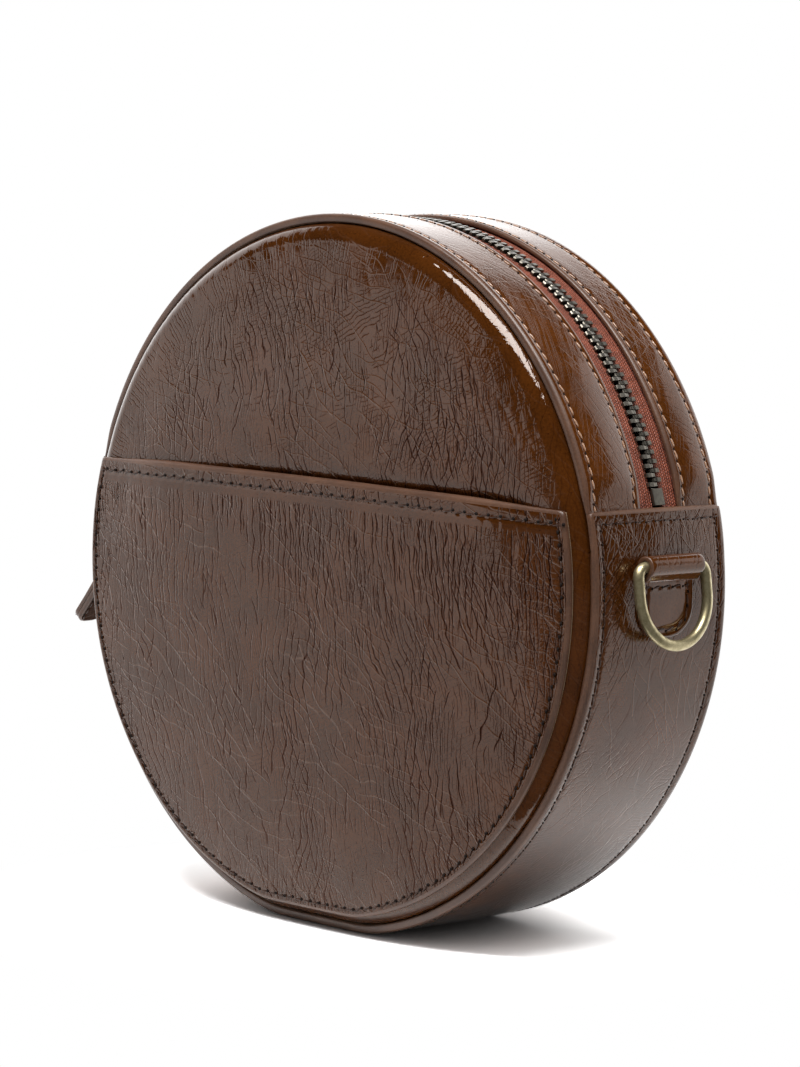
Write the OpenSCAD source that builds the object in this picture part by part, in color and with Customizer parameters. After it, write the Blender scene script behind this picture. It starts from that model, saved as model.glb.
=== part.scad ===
// Round leather shoulder bag, built in layers as a bag maker would cut and stack them.
// Millimetres, +Z up, the bag faces -Y, and the origin is on the ground under its middle.
// Most pieces are drawn in the bag's own round frame: its axis is local Z, pointing to the front,
// and angles run from the right-hand side up over the top.

/* [Round body] */
// Radius of the round body, to the outside of the lower gusset
bag_r = 100; // [85:1:125]
// Width of the gusset from its front edge to its back edge
gusset_w = 52; // [44:1:70]
// Width of the flat that the bag settles on
foot_w = 36; // [26:1:44]
// Thickness of the lower gusset's leather
gusset_t = 1.2; // [0.8:0.1:2]
// Thickness of the backing under the lower gusset
backing_t = 1.4; // [1:0.1:2.2]
// Height of the lower gusset's ends above the middle of the bag
tab_rise = 26; // [22:1:34]
// Length of zip strip that runs under each end of the lower gusset
lap_l = 11; // [8:1:16]
// Gap between layers that are sewn together
layer_gap = 0.05; // [0.04:0.01:0.08]
// Gap between pieces that fit beside each other
fit_gap = 0.1; // [0.08:0.01:0.2]

/* [Panels] */
// Thickness of a panel's leather
panel_t = 1.4; // [1:0.1:2]
// Radius of the roll at a panel's rim
panel_roll = 5; // [4:0.5:8]
// How far the panel's roll starts behind the gusset's edge
roll_set_back = 1.7; // [0.5:0.1:3]
// Rise of a panel's middle above its roll
panel_rise = 4; // [2:0.5:8]
// Depth of the panel's flange inside the gusset
flange_d = 7; // [5:0.5:9]
// Thickness of the lining cloth
lining_t = 0.5; // [0.3:0.1:0.8]
// Depth of the lining's face inside the gusset's edge
lining_set_back = 0.1; // [0:0.05:0.4]

/* [Front pocket] */
// How far the pocket's outline lies inside the outside of the gusset
pocket_inset = 5.3; // [4.5:0.1:22]
// Height of the pocket's mouth above the middle of the bag
pocket_rise = 26; // [10:1:40]
// Thickness of the pocket's leather
pocket_t = 1.5; // [1:0.1:2]
// Thickness of the pocket's lining
pocket_lining_t = 0.4; // [0.3:0.05:0.8]

/* [Zip] */
// How far the zip sits behind the middle of the gusset
zip_shift = 2.4; // [0:0.1:4]
// Width of the opening between the two leather strips
zip_gap = 15; // [14:0.5:18]
// Thickness of a zip strip's leather
strip_t = 1.4; // [1:0.1:1.8]
// How far the zip strips lie below the lower gusset's face
strip_drop = 0.2; // [0:0.05:0.3]
// Width of both tapes together
tape_w = 31; // [26:1:32]
// Thickness of the tape
tape_t = 0.6; // [0.4:0.05:0.7]
// Gap between the two tapes' inner edges
tape_gap = 3.8; // [3.6:0.1:3.9]
// Distance from tooth to tooth on one tape
tooth_pitch = 2.54; // [2.4:0.02:3]
// Length of a tooth along the tape
tooth_l = 1.2; // [0.9:0.05:1.2]
// Width of the closed chain of teeth
chain_w = 6; // [5:0.1:6.4]
// Thickness of the chain of teeth
chain_t = 2.4; // [1.8:0.1:2.8]
// How far a tooth reaches past the middle of the chain
tooth_reach = 0.8; // [0.5:0.1:1]
// Length of the bottom stop
bottom_stop_l = 4.6; // [3:0.1:6]
// Width of the bottom stop
bottom_stop_w = 5.2; // [4.4:0.1:6]
// Length of each top stop
top_stop_l = 1.6; // [1:0.1:2.4]
// Gap between a stop and what is next to it
stop_gap = 0.4; // [0.3:0.05:0.8]

/* [Slider and pull] */
// Length of the slider along the zip
slider_l = 11.5; // [9:0.5:13]
// Gap between the slider and what runs through it
slider_play = 0.3; // [0.3:0.05:0.4]
// Thickness of the slider's plates
plate_t = 1; // [0.8:0.1:1.4]
// Thickness of the slider's side rims
rim_t = 1; // [0.8:0.1:1.2]
// Length of the wedge that parts the teeth
wedge_l = 2.2; // [1.6:0.1:3]
// Width of the wedge that parts the teeth
wedge_w = 3; // [2.4:0.1:3.1]
// Width of the slider's bridge
bridge_w = 2.6; // [2:0.1:3.4]
// Height of the link's bar above the slider's top plate
bridge_rise = 2; // [1.8:0.1:3]
// Leather and metal between the link's bar and the bridge's outside
bridge_t = 1.1; // [0.8:0.1:1.6]
// Thickness of the wire of the pull's link
link_wire_d = 1.6; // [1.2:0.1:2]
// Width inside the pull's link
link_inner_w = 9.8; // [9.8:0.1:11]
// Distance between the middles of the link's two bars
link_l = 16.5; // [12:0.5:20]
// Width of the leather pull
pull_w = 9; // [7:0.5:9]
// Thickness of the leather pull
pull_t = 3; // [2.4:0.1:3.4]
// Length of the leather pull
pull_l = 57.5; // [40:0.5:70]
// Radius of the pull's outward bend
pull_bend_r = 227; // [160:1:400]
// Gap where the pull leans on the left ring's loop
lean_gap = 0.4; // [0.3:0.1:1]

/* [Side rings] */
// Width inside a D ring
ring_inner_w = 23.7; // [22:0.1:30]
// Thickness of a D ring's wire
ring_wire_d = 3; // [2.4:0.1:3.6]
// Distance from the middle of the ring's bar to the middle of its bow
ring_drop = 21.2; // [19:0.1:26]
// Radius of the ring's corners, to the middle of the wire
ring_corner_r = 3; // [2.4:0.1:4]
// Height of the ring's bar above the middle of the bag
ring_rise = 11.3; // [8:0.1:14]
// Angle at which a resting ring stands off the gusset
ring_tilt = 9; // [8:1:20]
// Gap between the ring's bar and its leather loop
ring_play = 0.1; // [0.08:0.01:0.15]
// Width of the leather loop
loop_w = 21; // [14:0.5:21.5]
// Thickness of the leather loop
loop_t = 1.4; // [1:0.1:1.8]
// How far the loop's lower end lies below the middle of the bag
loop_drop = 8; // [5:0.5:14]
// Corner radius of the loop's lower end
loop_corner_r = 8; // [4:0.5:9]

/* [Hidden] */
$fn = 96;
// Steps round a large band, and along a panel's dome and roll
band_steps = 240;
dome_steps = 10;
roll_steps = 6;
// How fast the dome falls away towards its roll
dome_power_share = 2.6;
// Overrun of every cut
over = bag_r * 0.01;

half_w = gusset_w / 2;
// Height of the bag's middle above the ground, once its foot has flattened
middle_h = sqrt(bag_r * bag_r - foot_w * foot_w / 4);

// Radii of the layers, from the outside in
backing_r = bag_r - gusset_t - layer_gap;
panel_r = backing_r - backing_t - fit_gap;
strip_r = bag_r - strip_drop;
strip_inner_r = strip_r - strip_t;
tape_r = strip_inner_r - layer_gap;
chain_r = tape_r - tape_t / 2;
lap_r = bag_r - gusset_t - layer_gap;

// Angles along the gusset
function degrees_of(length) = length / chain_r * 180 / PI;
tab_a = asin(tab_rise / bag_r);
lap_a = tab_a - degrees_of(lap_l);
top_span = 180 - 2 * tab_a;
lap_span = 180 - 2 * lap_a;
butt_a = degrees_of(fit_gap);

// The zip's middle in the round frame
zip_z = -zip_shift;
bottom_stop_a = tab_a + degrees_of(stop_gap * 2);
first_tooth_a = bottom_stop_a + degrees_of(bottom_stop_l + stop_gap);
top_stop_a = 180 - tab_a - degrees_of(stop_gap + top_stop_l);
slider_a = top_stop_a - degrees_of(stop_gap + slider_l / 2);
last_tooth_a = slider_a + degrees_of(slider_l / 2 - wedge_l - slider_play - tooth_l);
pitch_a = degrees_of(tooth_pitch);
tooth_count = floor((last_tooth_a - first_tooth_a) / pitch_a);

// The slider's levels
channel_h = chain_t / 2 + slider_play;
slot_h = tape_t / 2 + slider_play;
slider_half_w = chain_w / 2 + slider_play + rim_t;
bridge_r = chain_r + channel_h + plate_t + bridge_rise;
bridge_hole_r = link_wire_d / 2 + slider_play;

// The rings' bars and loops
bar_r = bag_r + layer_gap + loop_t + ring_play + ring_wire_d / 2;
bar_a = asin(ring_rise / bar_r);
bar_x = bar_r * cos(bar_a);
loop_outer_r = ring_wire_d / 2 + ring_play + loop_t;
ring_half_w = (ring_inner_w + ring_wire_d) / 2;

// The pull hangs from the bridge and leans on the left ring's loop
link_x = bridge_r * cos(slider_a);
link_z = bridge_r * sin(slider_a);
lean_d = norm([bar_x + link_x, ring_rise - link_z]);
pull_a = atan2(bar_x + link_x, link_z - ring_rise) + asin((loop_outer_r + pull_t / 2 + lean_gap) / lean_d);
pull_x = link_x - link_l * sin(pull_a);
pull_z = link_z - link_l * cos(pull_a);
eye_r = link_wire_d / 2 + slider_play;
eye_outer_r = eye_r + pull_t / 2;
pull_bend_a = pull_l / pull_bend_r * 180 / PI;

// Puts a piece from the round frame into the bag's frame
module round_frame() {
    translate([0, 0, middle_h]) rotate([90, 0, 0]) children();
}

// Everything above a level over the ground, drawn in the round frame
module above_ground(level) {
    translate([-bag_r - over, level - middle_h, -bag_r]) cube([(bag_r + over) * 2, bag_r * 3, bag_r * 2]);
}

// A stretch of a round band, from one angle through a span, between two depths
module band(outer_r, thick, z_from, z_to, start_a, span_a) {
    rotate_extrude(start = start_a, angle = span_a, $fn = band_steps)
        translate([outer_r - thick, z_from]) square([thick, z_to - z_from]);
}

// A layer of the lower gusset, flattened where the bag stands, outside level first
module lower_band(outer_r, thick, level, half_depth, end_a) {
    difference() {
        intersection() {
            rotate_extrude(start = 180 - end_a, angle = 180 + 2 * end_a, $fn = band_steps)
                translate([middle_h - level - thick - gusset_t, -half_depth])
                    square([outer_r - middle_h + level + thick + gusset_t, half_depth * 2]);
            above_ground(level);
        }
        intersection() {
            translate([0, 0, -half_depth - over])
                cylinder(r = outer_r - thick, h = (half_depth + over) * 2, $fn = band_steps);
            above_ground(level + thick);
        }
    }
}

// Profile of a panel's outside, moved outwards by grow: dome, roll and flange down to z_low
function roll_centre_r() = panel_r - panel_roll;
function roll_centre_z() = half_w - roll_set_back;
function dome_z(share) = panel_rise * (1 - pow(share, dome_power_share));
function panel_profile(grow, z_low) = concat(
    [[0, z_low], [panel_r + grow, z_low]],
    [for (i = [0 : roll_steps]) let (a = 90 * i / roll_steps)
        [roll_centre_r() + (panel_roll + grow) * cos(a), roll_centre_z() + (panel_roll + grow) * sin(a)]],
    [for (i = [dome_steps - 1 : -1 : 0]) let (share = i / dome_steps)
        [roll_centre_r() * share, roll_centre_z() + panel_roll + grow + dome_z(share)]]);

module panel_form(grow, z_low, level) {
    intersection() {
        rotate_extrude($fn = band_steps) polygon(panel_profile(grow, z_low));
        above_ground(level);
    }
}

panel_level = bag_r - panel_r;
pocket_r = bag_r - pocket_inset;
flange_z = half_w - flange_d;
lining_z = half_w - lining_set_back;

// Domed panel with a rolled rim and a flange that the gusset is sewn to
module panel() {
    difference() {
        panel_form(0, flange_z, panel_level);
        panel_form(-panel_t, flange_z - over, panel_level + panel_t);
    }
}

// Foam between the panel's leather and the lining
module padding() {
    intersection() {
        panel_form(-panel_t - layer_gap, flange_z, panel_level + panel_t + layer_gap);
        translate([-bag_r, -bag_r, lining_z + layer_gap]) cube([bag_r * 2, bag_r * 2, bag_r]);
    }
}

// The lining stops inside the roll at its own depth
roll_inner_r = panel_roll - panel_t;
lining_depth = max(0, lining_z - roll_centre_z());
lining_r = roll_centre_r() + sqrt(max(0, pow(roll_inner_r, 2) - pow(lining_depth, 2))) - fit_gap;

module lining_disc() {
    intersection() {
        translate([0, 0, lining_z - lining_t])
            cylinder(r = lining_r, h = lining_t, $fn = band_steps);
        above_ground(panel_level + panel_t + layer_gap);
    }
}

// A sheet that follows the front panel, cut to the pocket's outline
module pocket_sheet(grow, thick) {
    intersection() {
        difference() {
            panel_form(grow + thick, roll_centre_z(), 0);
            panel_form(grow, roll_centre_z() - over, -over);
        }
        cylinder(r = pocket_r, h = bag_r, $fn = band_steps);
        translate([-bag_r, -bag_r, 0]) cube([bag_r * 2, bag_r + pocket_rise, bag_r]);
    }
}

// The room that the tapes' inner edges take inside the teeth and stops
module tape_room() {
    for (side = [-1, 1])
        band(tape_r + layer_gap, tape_t + layer_gap * 2,
            zip_z + min(side * (tape_gap / 2 - layer_gap), side * chain_w),
            zip_z + max(side * (tape_gap / 2 - layer_gap), side * chain_w), 0, 180);
}

// One tape's row of teeth, side 1 in front
module teeth(side) {
    difference() {
        for (i = [0 : tooth_count - 1])
            rotate([0, 0, first_tooth_a + (i + (side > 0 ? 0 : 0.5)) * pitch_a])
                translate([chain_r - chain_t / 2, 0, zip_z + min(side * chain_w / 2, -side * tooth_reach)])
                    cube([chain_t, tooth_l, chain_w / 2 + tooth_reach]);
        tape_room();
    }
}

// One tape and the strip of leather over it, side 1 in front
module tape(side) {
    band(tape_r, tape_t, zip_z + min(side * tape_gap / 2, side * tape_w / 2),
        zip_z + max(side * tape_gap / 2, side * tape_w / 2), lap_a, lap_span);
}

module strip(side) {
    inner_z = zip_z + side * zip_gap / 2;
    low_z = min(inner_z, side * half_w);
    high_z = max(inner_z, side * half_w);
    band(strip_r, strip_t, low_z, high_z, tab_a + butt_a, top_span - 2 * butt_a);
    // The ends are pared thin where the lower gusset laps over them
    band(lap_r, lap_r - strip_inner_r, low_z, high_z, lap_a, lap_span);
}

module strip_backing(side) {
    inner_z = zip_z + side * (tape_w / 2 + fit_gap);
    band(tape_r, tape_r - panel_r - fit_gap, min(inner_z, side * half_w), max(inner_z, side * half_w),
        lap_a, lap_span);
}

module zip_lining(side) {
    inner_z = zip_z + side * (slider_half_w + fit_gap * 3);
    outer_z = side * (flange_z - fit_gap);
    band(panel_r, lining_t, min(inner_z, outer_z), max(inner_z, outer_z), lap_a, lap_span);
}

// Strap folded round the ring's bar, both layers sewn to the gusset, drawn on the right
module ring_loop() {
    low_a = -asin((loop_drop + loop_corner_r) / bag_r);
    intersection() {
        round_frame() {
            difference() {
                union() {
                    band(bag_r + layer_gap + loop_t, loop_t, -loop_w / 2, loop_w / 2, low_a, bar_a - low_a);
                    band(bag_r + layer_gap + loop_t * 2, loop_t + layer_gap, -loop_w / 2, loop_w / 2,
                        low_a, bar_a - low_a - asin(loop_outer_r / bar_r) * 0.8);
                    rotate([0, 0, bar_a]) translate([bar_r, 0, -loop_w / 2])
                        cylinder(r = loop_outer_r, h = loop_w);
                }
                rotate([0, 0, bar_a]) translate([bar_r, 0, -loop_w / 2 - over])
                    cylinder(r = ring_wire_d / 2 + ring_play, h = loop_w + over * 2);
            }
        }
        loop_outline();
    }
}

// Outline of the loop with its lower corners rounded, seen from the side of the bag
module loop_outline() {
    depth = bag_r * 1.2;
    straight_z = middle_h - loop_drop + loop_corner_r;
    translate([0, -loop_w / 2, straight_z]) cube([depth, loop_w, bag_r]);
    translate([0, -loop_w / 2 + loop_corner_r, middle_h - loop_drop])
        cube([depth, loop_w - loop_corner_r * 2, loop_corner_r]);
    for (side = [-1, 1])
        translate([0, side * (loop_w / 2 - loop_corner_r), straight_z])
            rotate([0, 90, 0]) cylinder(r = loop_corner_r, h = depth);
}

// D ring drawn round its bar: the bar on local Y, the bow hanging down
module d_ring_form() {
    wire_r = ring_wire_d / 2;
    bow_z = -(ring_drop - ring_half_w);
    bar_half = ring_half_w - ring_corner_r;
    translate([0, bar_half, 0]) rotate([90, 0, 0]) cylinder(r = wire_r, h = bar_half * 2);
    for (side = [-1, 1]) {
        translate([0, side * ring_half_w, bow_z]) cylinder(r = wire_r, h = -bow_z - ring_corner_r);
        translate([0, side * bar_half, -ring_corner_r]) rotate([90, 0, 90])
            rotate_extrude(start = side > 0 ? 0 : 90, angle = 90) translate([ring_corner_r, 0]) circle(r = wire_r);
    }
    translate([0, 0, bow_z]) rotate([90, 0, 90])
        rotate_extrude(start = 180, angle = 180) translate([ring_half_w, 0]) circle(r = wire_r);
}

// The right ring in its loop, standing a little off the gusset
module ring_in_place() {
    translate([bar_x, 0, middle_h + ring_rise]) rotate([0, -ring_tilt, 0]) d_ring_form();
}

module slider_form() {
    half_a = degrees_of(slider_l / 2);
    rotate([0, 0, slider_a]) {
        for (side = [-1, 1]) {
            face = side > 0 ? chain_r + channel_h + plate_t : chain_r - channel_h;
            band(face, plate_t, zip_z - slider_half_w, zip_z + slider_half_w, -half_a, half_a * 2);
            rim = side > 0 ? chain_r + channel_h + plate_t / 2 : chain_r - slot_h;
            for (edge = [-slider_half_w, slider_half_w - rim_t])
                band(rim, channel_h - slot_h + plate_t / 2, zip_z + edge, zip_z + edge + rim_t,
                    -half_a, half_a * 2);
        }
        band(chain_r + channel_h + plate_t / 2, channel_h * 2 + plate_t, zip_z - wedge_w / 2, zip_z + wedge_w / 2,
            half_a - degrees_of(wedge_l), degrees_of(wedge_l));
        bridge();
    }
}

// Bridge over the link's bar, standing on the slider's top plate
module bridge() {
    foot_r = chain_r + channel_h + plate_t / 2;
    outer_r = bridge_hole_r + bridge_t;
    difference() {
        union() {
            translate([foot_r, -outer_r, zip_z - bridge_w / 2]) cube([bridge_r - foot_r, outer_r * 2, bridge_w]);
            translate([bridge_r, 0, zip_z - bridge_w / 2]) cylinder(r = outer_r, h = bridge_w, $fn = 48);
        }
        translate([bridge_r, 0, zip_z - bridge_w / 2 - over])
            cylinder(r = bridge_hole_r, h = bridge_w + over * 2, $fn = 48);
    }
}

// Wire link drawn from its upper bar, which is on local Y, hanging down
module link_form() {
    wire_r = link_wire_d / 2;
    half = (link_inner_w + link_wire_d) / 2;
    for (z = [0, -link_l])
        translate([0, half, z]) rotate([90, 0, 0]) cylinder(r = wire_r, h = half * 2, $fn = 32);
    for (side = [-1, 1]) {
        translate([0, side * half, -link_l]) cylinder(r = wire_r, h = link_l, $fn = 32);
        for (z = [0, -link_l]) translate([0, side * half, z]) sphere(r = wire_r, $fn = 32);
    }
}

// Leather pull drawn from the link's lower bar: an eye round the bar and a strip that bends outwards
module pull_form() {
    difference() {
        union() {
            translate([0, pull_w / 2, 0]) rotate([90, 0, 0]) cylinder(r = eye_outer_r, h = pull_w, $fn = 48);
            intersection() {
                translate([-pull_bend_r, 0, 0]) rotate([90, 0, 0])
                    rotate_extrude(start = -pull_bend_a, angle = pull_bend_a, $fn = band_steps)
                        translate([pull_bend_r - pull_t / 2, -pull_w / 2]) square([pull_t, pull_w]);
                pull_outline();
            }
        }
        translate([0, pull_w / 2 + over, 0]) rotate([90, 0, 0])
            cylinder(r = eye_r, h = pull_w + over * 2, $fn = 48);
    }
}

// Outline of the pull with its tip's corners rounded
module pull_outline() {
    corner = pull_w / 3;
    depth = pull_bend_r;
    tip_z = -pull_bend_r * sin(pull_bend_a);
    translate([-depth / 2, -pull_w / 2, tip_z + corner]) cube([depth, pull_w, pull_l * 2]);
    translate([-depth / 2, -pull_w / 2 + corner, tip_z - corner]) cube([depth, pull_w - corner * 2, corner * 2]);
    for (side = [-1, 1])
        translate([-depth / 2, side * (pull_w / 2 - corner), tip_z + corner])
            rotate([0, 90, 0]) cylinder(r = corner, h = depth, $fn = 48);
}

module front_panel() { color("#5a3420") round_frame() panel(); }
module front_padding() { color("#c9c2b4") round_frame() padding(); }
module front_lining() { color("#8a7358") round_frame() lining_disc(); }
module back_panel() { color("#5a3420") round_frame() mirror([0, 0, 1]) panel(); }
module back_padding() { color("#c9c2b4") round_frame() mirror([0, 0, 1]) padding(); }
module back_lining() { color("#8a7358") round_frame() mirror([0, 0, 1]) lining_disc(); }

module front_pocket() {
    color("#6b4532") round_frame() pocket_sheet(layer_gap * 2 + pocket_lining_t, pocket_t);
}
module pocket_lining() { color("#8a7358") round_frame() pocket_sheet(layer_gap, pocket_lining_t); }

module lower_gusset() {
    color("#5f3b2a") round_frame() lower_band(bag_r, gusset_t, 0, half_w, tab_a);
}
module gusset_backing() {
    color("#7a5a3c") round_frame()
        lower_band(backing_r, backing_t, gusset_t + layer_gap, half_w, lap_a - butt_a);
}
module gusset_lining() {
    color("#8a7358") round_frame()
        lower_band(panel_r, lining_t, panel_level, flange_z - fit_gap, lap_a - butt_a);
}

module zip_strip_front() { color("#5f3b2a") round_frame() strip(1); }
module zip_strip_back() { color("#5f3b2a") round_frame() strip(-1); }
module strip_backing_front() { color("#7a5a3c") round_frame() strip_backing(1); }
module strip_backing_back() { color("#7a5a3c") round_frame() strip_backing(-1); }
module zip_tape_front() { color("#8c4b37") round_frame() tape(1); }
module zip_tape_back() { color("#8c4b37") round_frame() tape(-1); }
module zip_lining_front() { color("#8a7358") round_frame() zip_lining(1); }
module zip_lining_back() { color("#8a7358") round_frame() zip_lining(-1); }
module zip_teeth_front() { color("#4a443a") round_frame() teeth(1); }
module zip_teeth_back() { color("#4a443a") round_frame() teeth(-1); }

module zip_bottom_stop() {
    color("#6a6252") round_frame() difference() {
        band(chain_r + chain_t / 2, chain_t, zip_z - bottom_stop_w / 2, zip_z + bottom_stop_w / 2,
            bottom_stop_a, degrees_of(bottom_stop_l));
        tape_room();
    }
}
module zip_top_stops() {
    color("#6a6252") round_frame() difference() {
        for (side = [-1, 1])
            band(chain_r + chain_t / 2, chain_t, zip_z + min(side * wedge_w / 2, side * chain_w / 2),
                zip_z + max(side * wedge_w / 2, side * chain_w / 2), top_stop_a, degrees_of(top_stop_l));
        tape_room();
    }
}

module ring_loop_right() { color("#6b4532") ring_loop(); }
module ring_loop_left() { color("#6b4532") mirror([1, 0, 0]) ring_loop(); }
module d_ring_right() { color("#96885c") ring_in_place(); }
module d_ring_left() { color("#96885c") mirror([1, 0, 0]) ring_in_place(); }

module zip_slider() { color("#96885c") round_frame() slider_form(); }
module zip_pull_link() {
    color("#96885c") translate([link_x, zip_shift, middle_h + link_z]) rotate([0, pull_a, 0]) link_form();
}
module zip_pull_tab() {
    color("#5a3420") translate([pull_x, zip_shift, middle_h + pull_z]) rotate([0, pull_a, 0]) pull_form();
}

front_panel();
front_padding();
front_lining();
back_panel();
back_padding();
back_lining();
front_pocket();
pocket_lining();
lower_gusset();
gusset_backing();
gusset_lining();
zip_strip_front();
zip_strip_back();
strip_backing_front();
strip_backing_back();
zip_tape_front();
zip_tape_back();
zip_lining_front();
zip_lining_back();
zip_teeth_front();
zip_teeth_back();
zip_bottom_stop();
zip_top_stops();
ring_loop_right();
ring_loop_left();
d_ring_right();
d_ring_left();
zip_slider();
zip_pull_link();
zip_pull_tab();
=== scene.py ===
import math

import bmesh
import bpy
import numpy as np
from mathutils import Matrix, Vector


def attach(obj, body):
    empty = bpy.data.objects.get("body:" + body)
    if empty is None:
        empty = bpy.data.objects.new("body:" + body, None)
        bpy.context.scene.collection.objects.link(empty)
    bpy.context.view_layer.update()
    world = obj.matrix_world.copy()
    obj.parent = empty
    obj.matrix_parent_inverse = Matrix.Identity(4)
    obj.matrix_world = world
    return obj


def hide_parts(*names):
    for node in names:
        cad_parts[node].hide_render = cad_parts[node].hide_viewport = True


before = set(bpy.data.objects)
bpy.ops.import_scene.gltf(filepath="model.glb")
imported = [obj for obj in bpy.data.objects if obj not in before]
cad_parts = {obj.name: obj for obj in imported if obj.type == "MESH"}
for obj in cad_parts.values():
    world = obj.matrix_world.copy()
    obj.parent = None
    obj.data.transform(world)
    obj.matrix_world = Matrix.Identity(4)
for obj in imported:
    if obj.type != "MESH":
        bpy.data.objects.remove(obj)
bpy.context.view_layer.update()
print("frame loaded")

mm = 0.001  # the pieces below are drawn in millimetres

# The round body, in its own round frame: x to the right, y up, z to the front,
# and angles from the right-hand side up over the top
roundBody = {
    "radius": 100.0,
    "halfWidth": 26.0,
    "middleHeight": 98.36666,
    "tabAngle": 15.07,
    "lapAngle": 8.64,
}


def toBagFrame(points):
    moved = np.empty(points.shape)
    moved[..., 0] = points[..., 0]
    moved[..., 1] = -points[..., 2]
    moved[..., 2] = points[..., 1] + roundBody["middleHeight"]
    return moved * mm


# Camera, floor and light

photoCamera = {
    "azimuth": 44.747,
    "elevation": 5.63,
    "roll": 1.811,
    "distance": 1160.26,
    "aimRight": 0.959,
    "aimUp": 10.337,
    "focalPixels": 4124.9,
    "imageHeight": 1067,
    "sensor": 36.0,
}


def placeCamera(view):
    azimuth, elevation, roll = (math.radians(view[key]) for key in ("azimuth", "elevation", "roll"))
    back = Vector((math.sin(azimuth) * math.cos(elevation), -math.cos(azimuth) * math.cos(elevation),
                   math.sin(elevation)))
    right = Vector((0, 0, 1)).cross(back).normalized()
    up = back.cross(right)
    place = right * view["aimRight"] + up * view["aimUp"] + back * view["distance"]
    place.z += roundBody["middleHeight"]
    turnedRight = right * math.cos(roll) + up * math.sin(roll)
    turnedUp = up * math.cos(roll) - right * math.sin(roll)
    data = bpy.data.cameras.new("photoCamera")
    data.sensor_width = view["sensor"]
    data.lens = view["focalPixels"] * view["sensor"] / view["imageHeight"]
    data.clip_start, data.clip_end = 0.01, 20
    camera = bpy.data.objects.new("photoCamera", data)
    camera.matrix_world = Matrix((turnedRight, turnedUp, back)).transposed().to_4x4()
    camera.location = place * mm
    bpy.context.scene.collection.objects.link(camera)
    bpy.context.scene.camera = camera


placeCamera(photoCamera)
bpy.context.scene.view_settings.view_transform = "Standard"


def addNode(tree, kind, values=None, **settings):
    node = tree.nodes.new(kind)
    for key, value in settings.items():
        setattr(node, key, value)
    for key, value in (values or {}).items():
        if isinstance(value, bpy.types.NodeSocket):
            tree.links.new(value, node.inputs[key])
        else:
            node.inputs[key].default_value = value
    return node


def maths(tree, operation, *values):
    node = addNode(tree, "ShaderNodeMath", dict(enumerate(values)), operation=operation)
    return node.outputs[0]


def remap(tree, value, low, high, toLow=0.0, toHigh=1.0, smooth=True):
    node = addNode(tree, "ShaderNodeMapRange", interpolation_type="SMOOTHSTEP" if smooth else "LINEAR")
    for key, given in (("Value", value), ("From Min", low), ("From Max", high),
                       ("To Min", toLow), ("To Max", toHigh)):
        if isinstance(given, bpy.types.NodeSocket):
            tree.links.new(given, node.inputs[key])
        else:
            node.inputs[key].default_value = given
    return node.outputs[0]


def blendColours(tree, factor, first, second):
    node = tree.nodes.new("ShaderNodeMix")
    node.data_type = "RGBA"
    for socket, given in ((node.inputs[0], factor), (node.inputs[6], first), (node.inputs[7], second)):
        if isinstance(given, bpy.types.NodeSocket):
            tree.links.new(given, socket)
        else:
            socket.default_value = (*given, 1.0) if isinstance(given, tuple) else given
    return node.outputs[2]


def newGroup(name, inputs, outputs):
    group = bpy.data.node_groups.new(name, "ShaderNodeTree")
    for label, kind, default in inputs:
        socket = group.interface.new_socket(label, in_out="INPUT", socket_type=kind)
        if default is not None:
            socket.default_value = default
    for label, kind in outputs:
        group.interface.new_socket(label, in_out="OUTPUT", socket_type=kind)
    return group, group.nodes.new("NodeGroupInput").outputs, group.nodes.new("NodeGroupOutput").inputs


def useGroup(tree, group, values):
    node = tree.nodes.new("ShaderNodeGroup")
    node.node_tree = group
    for key, value in values.items():
        if isinstance(value, bpy.types.NodeSocket):
            tree.links.new(value, node.inputs[key])
        else:
            node.inputs[key].default_value = value
    return node.outputs


# What glossy things mirror: a white sweep behind and to the left, and an unlit room at the camera's side.
# Its back is lit more than its left front end.
studio = {
    "sweepFrom": -44.6,  # degrees round from straight behind, to the right
    "sweepTo": 147.3,  # and to the left
    "sweepLean": (0.40, -0.9),  # how far each of its ends moves to the left for each degree up
    "backHeight": 38.9,  # how many degrees up the sweep stands behind
    "frontHeight": 6.3,  # and at its left front end
    "dropFrom": 95.0,  # where its top starts to come down on the way there
    "dropTo": 128.0,  # and where it is down
    "softness": 0.5,  # degrees over which its edges fade
    "backLevel": 2.5,  # how bright it is behind
    "frontLevel": 1.48,  # at its left front end
    "rightLevel": 1.5,  # and at its right end
    "leftFade": (78.0, 122.0),  # where its brightness goes from the first to the second
    "rightFade": (12.0, -36.0),  # and from the first to the third
    "topFade": 22.0,  # how many degrees up it starts to darken
    "topLevel": 0.62,  # what is left of its brightness at its top
    "unlit": 0.02,  # what the dark room behind the camera mirrors
    "roomLight": 0.30,  # what matt things get from all round
    "floorColour": (0.84, 0.84, 0.84),
    "floorShadeToWhite": (0.6, 4.2),  # its paleness to the camera beside the object, kept low there as painted shade that darkens the contact shadow, and where it is white
    "seenReach": (0.016, 0.075),  # how far from the object's middle these are
    "floorMirrored": 0.52,  # how pale glossy things find it beside the object
    "floorAtFront": 0.10,  # the share of the sweep's brightness that it has outside the sweep
    "floorGlow": 0.84,  # how bright glossy things find its plain white part
    "floorMiddle": (-0.10, 0.03, 0.0),  # moves the sweep's shape over the floor
    "shadowReach": (0.045, 0.125),  # metres from the middle, past which the floor is plain white
    "floorSize": 12.0,
}


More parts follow.
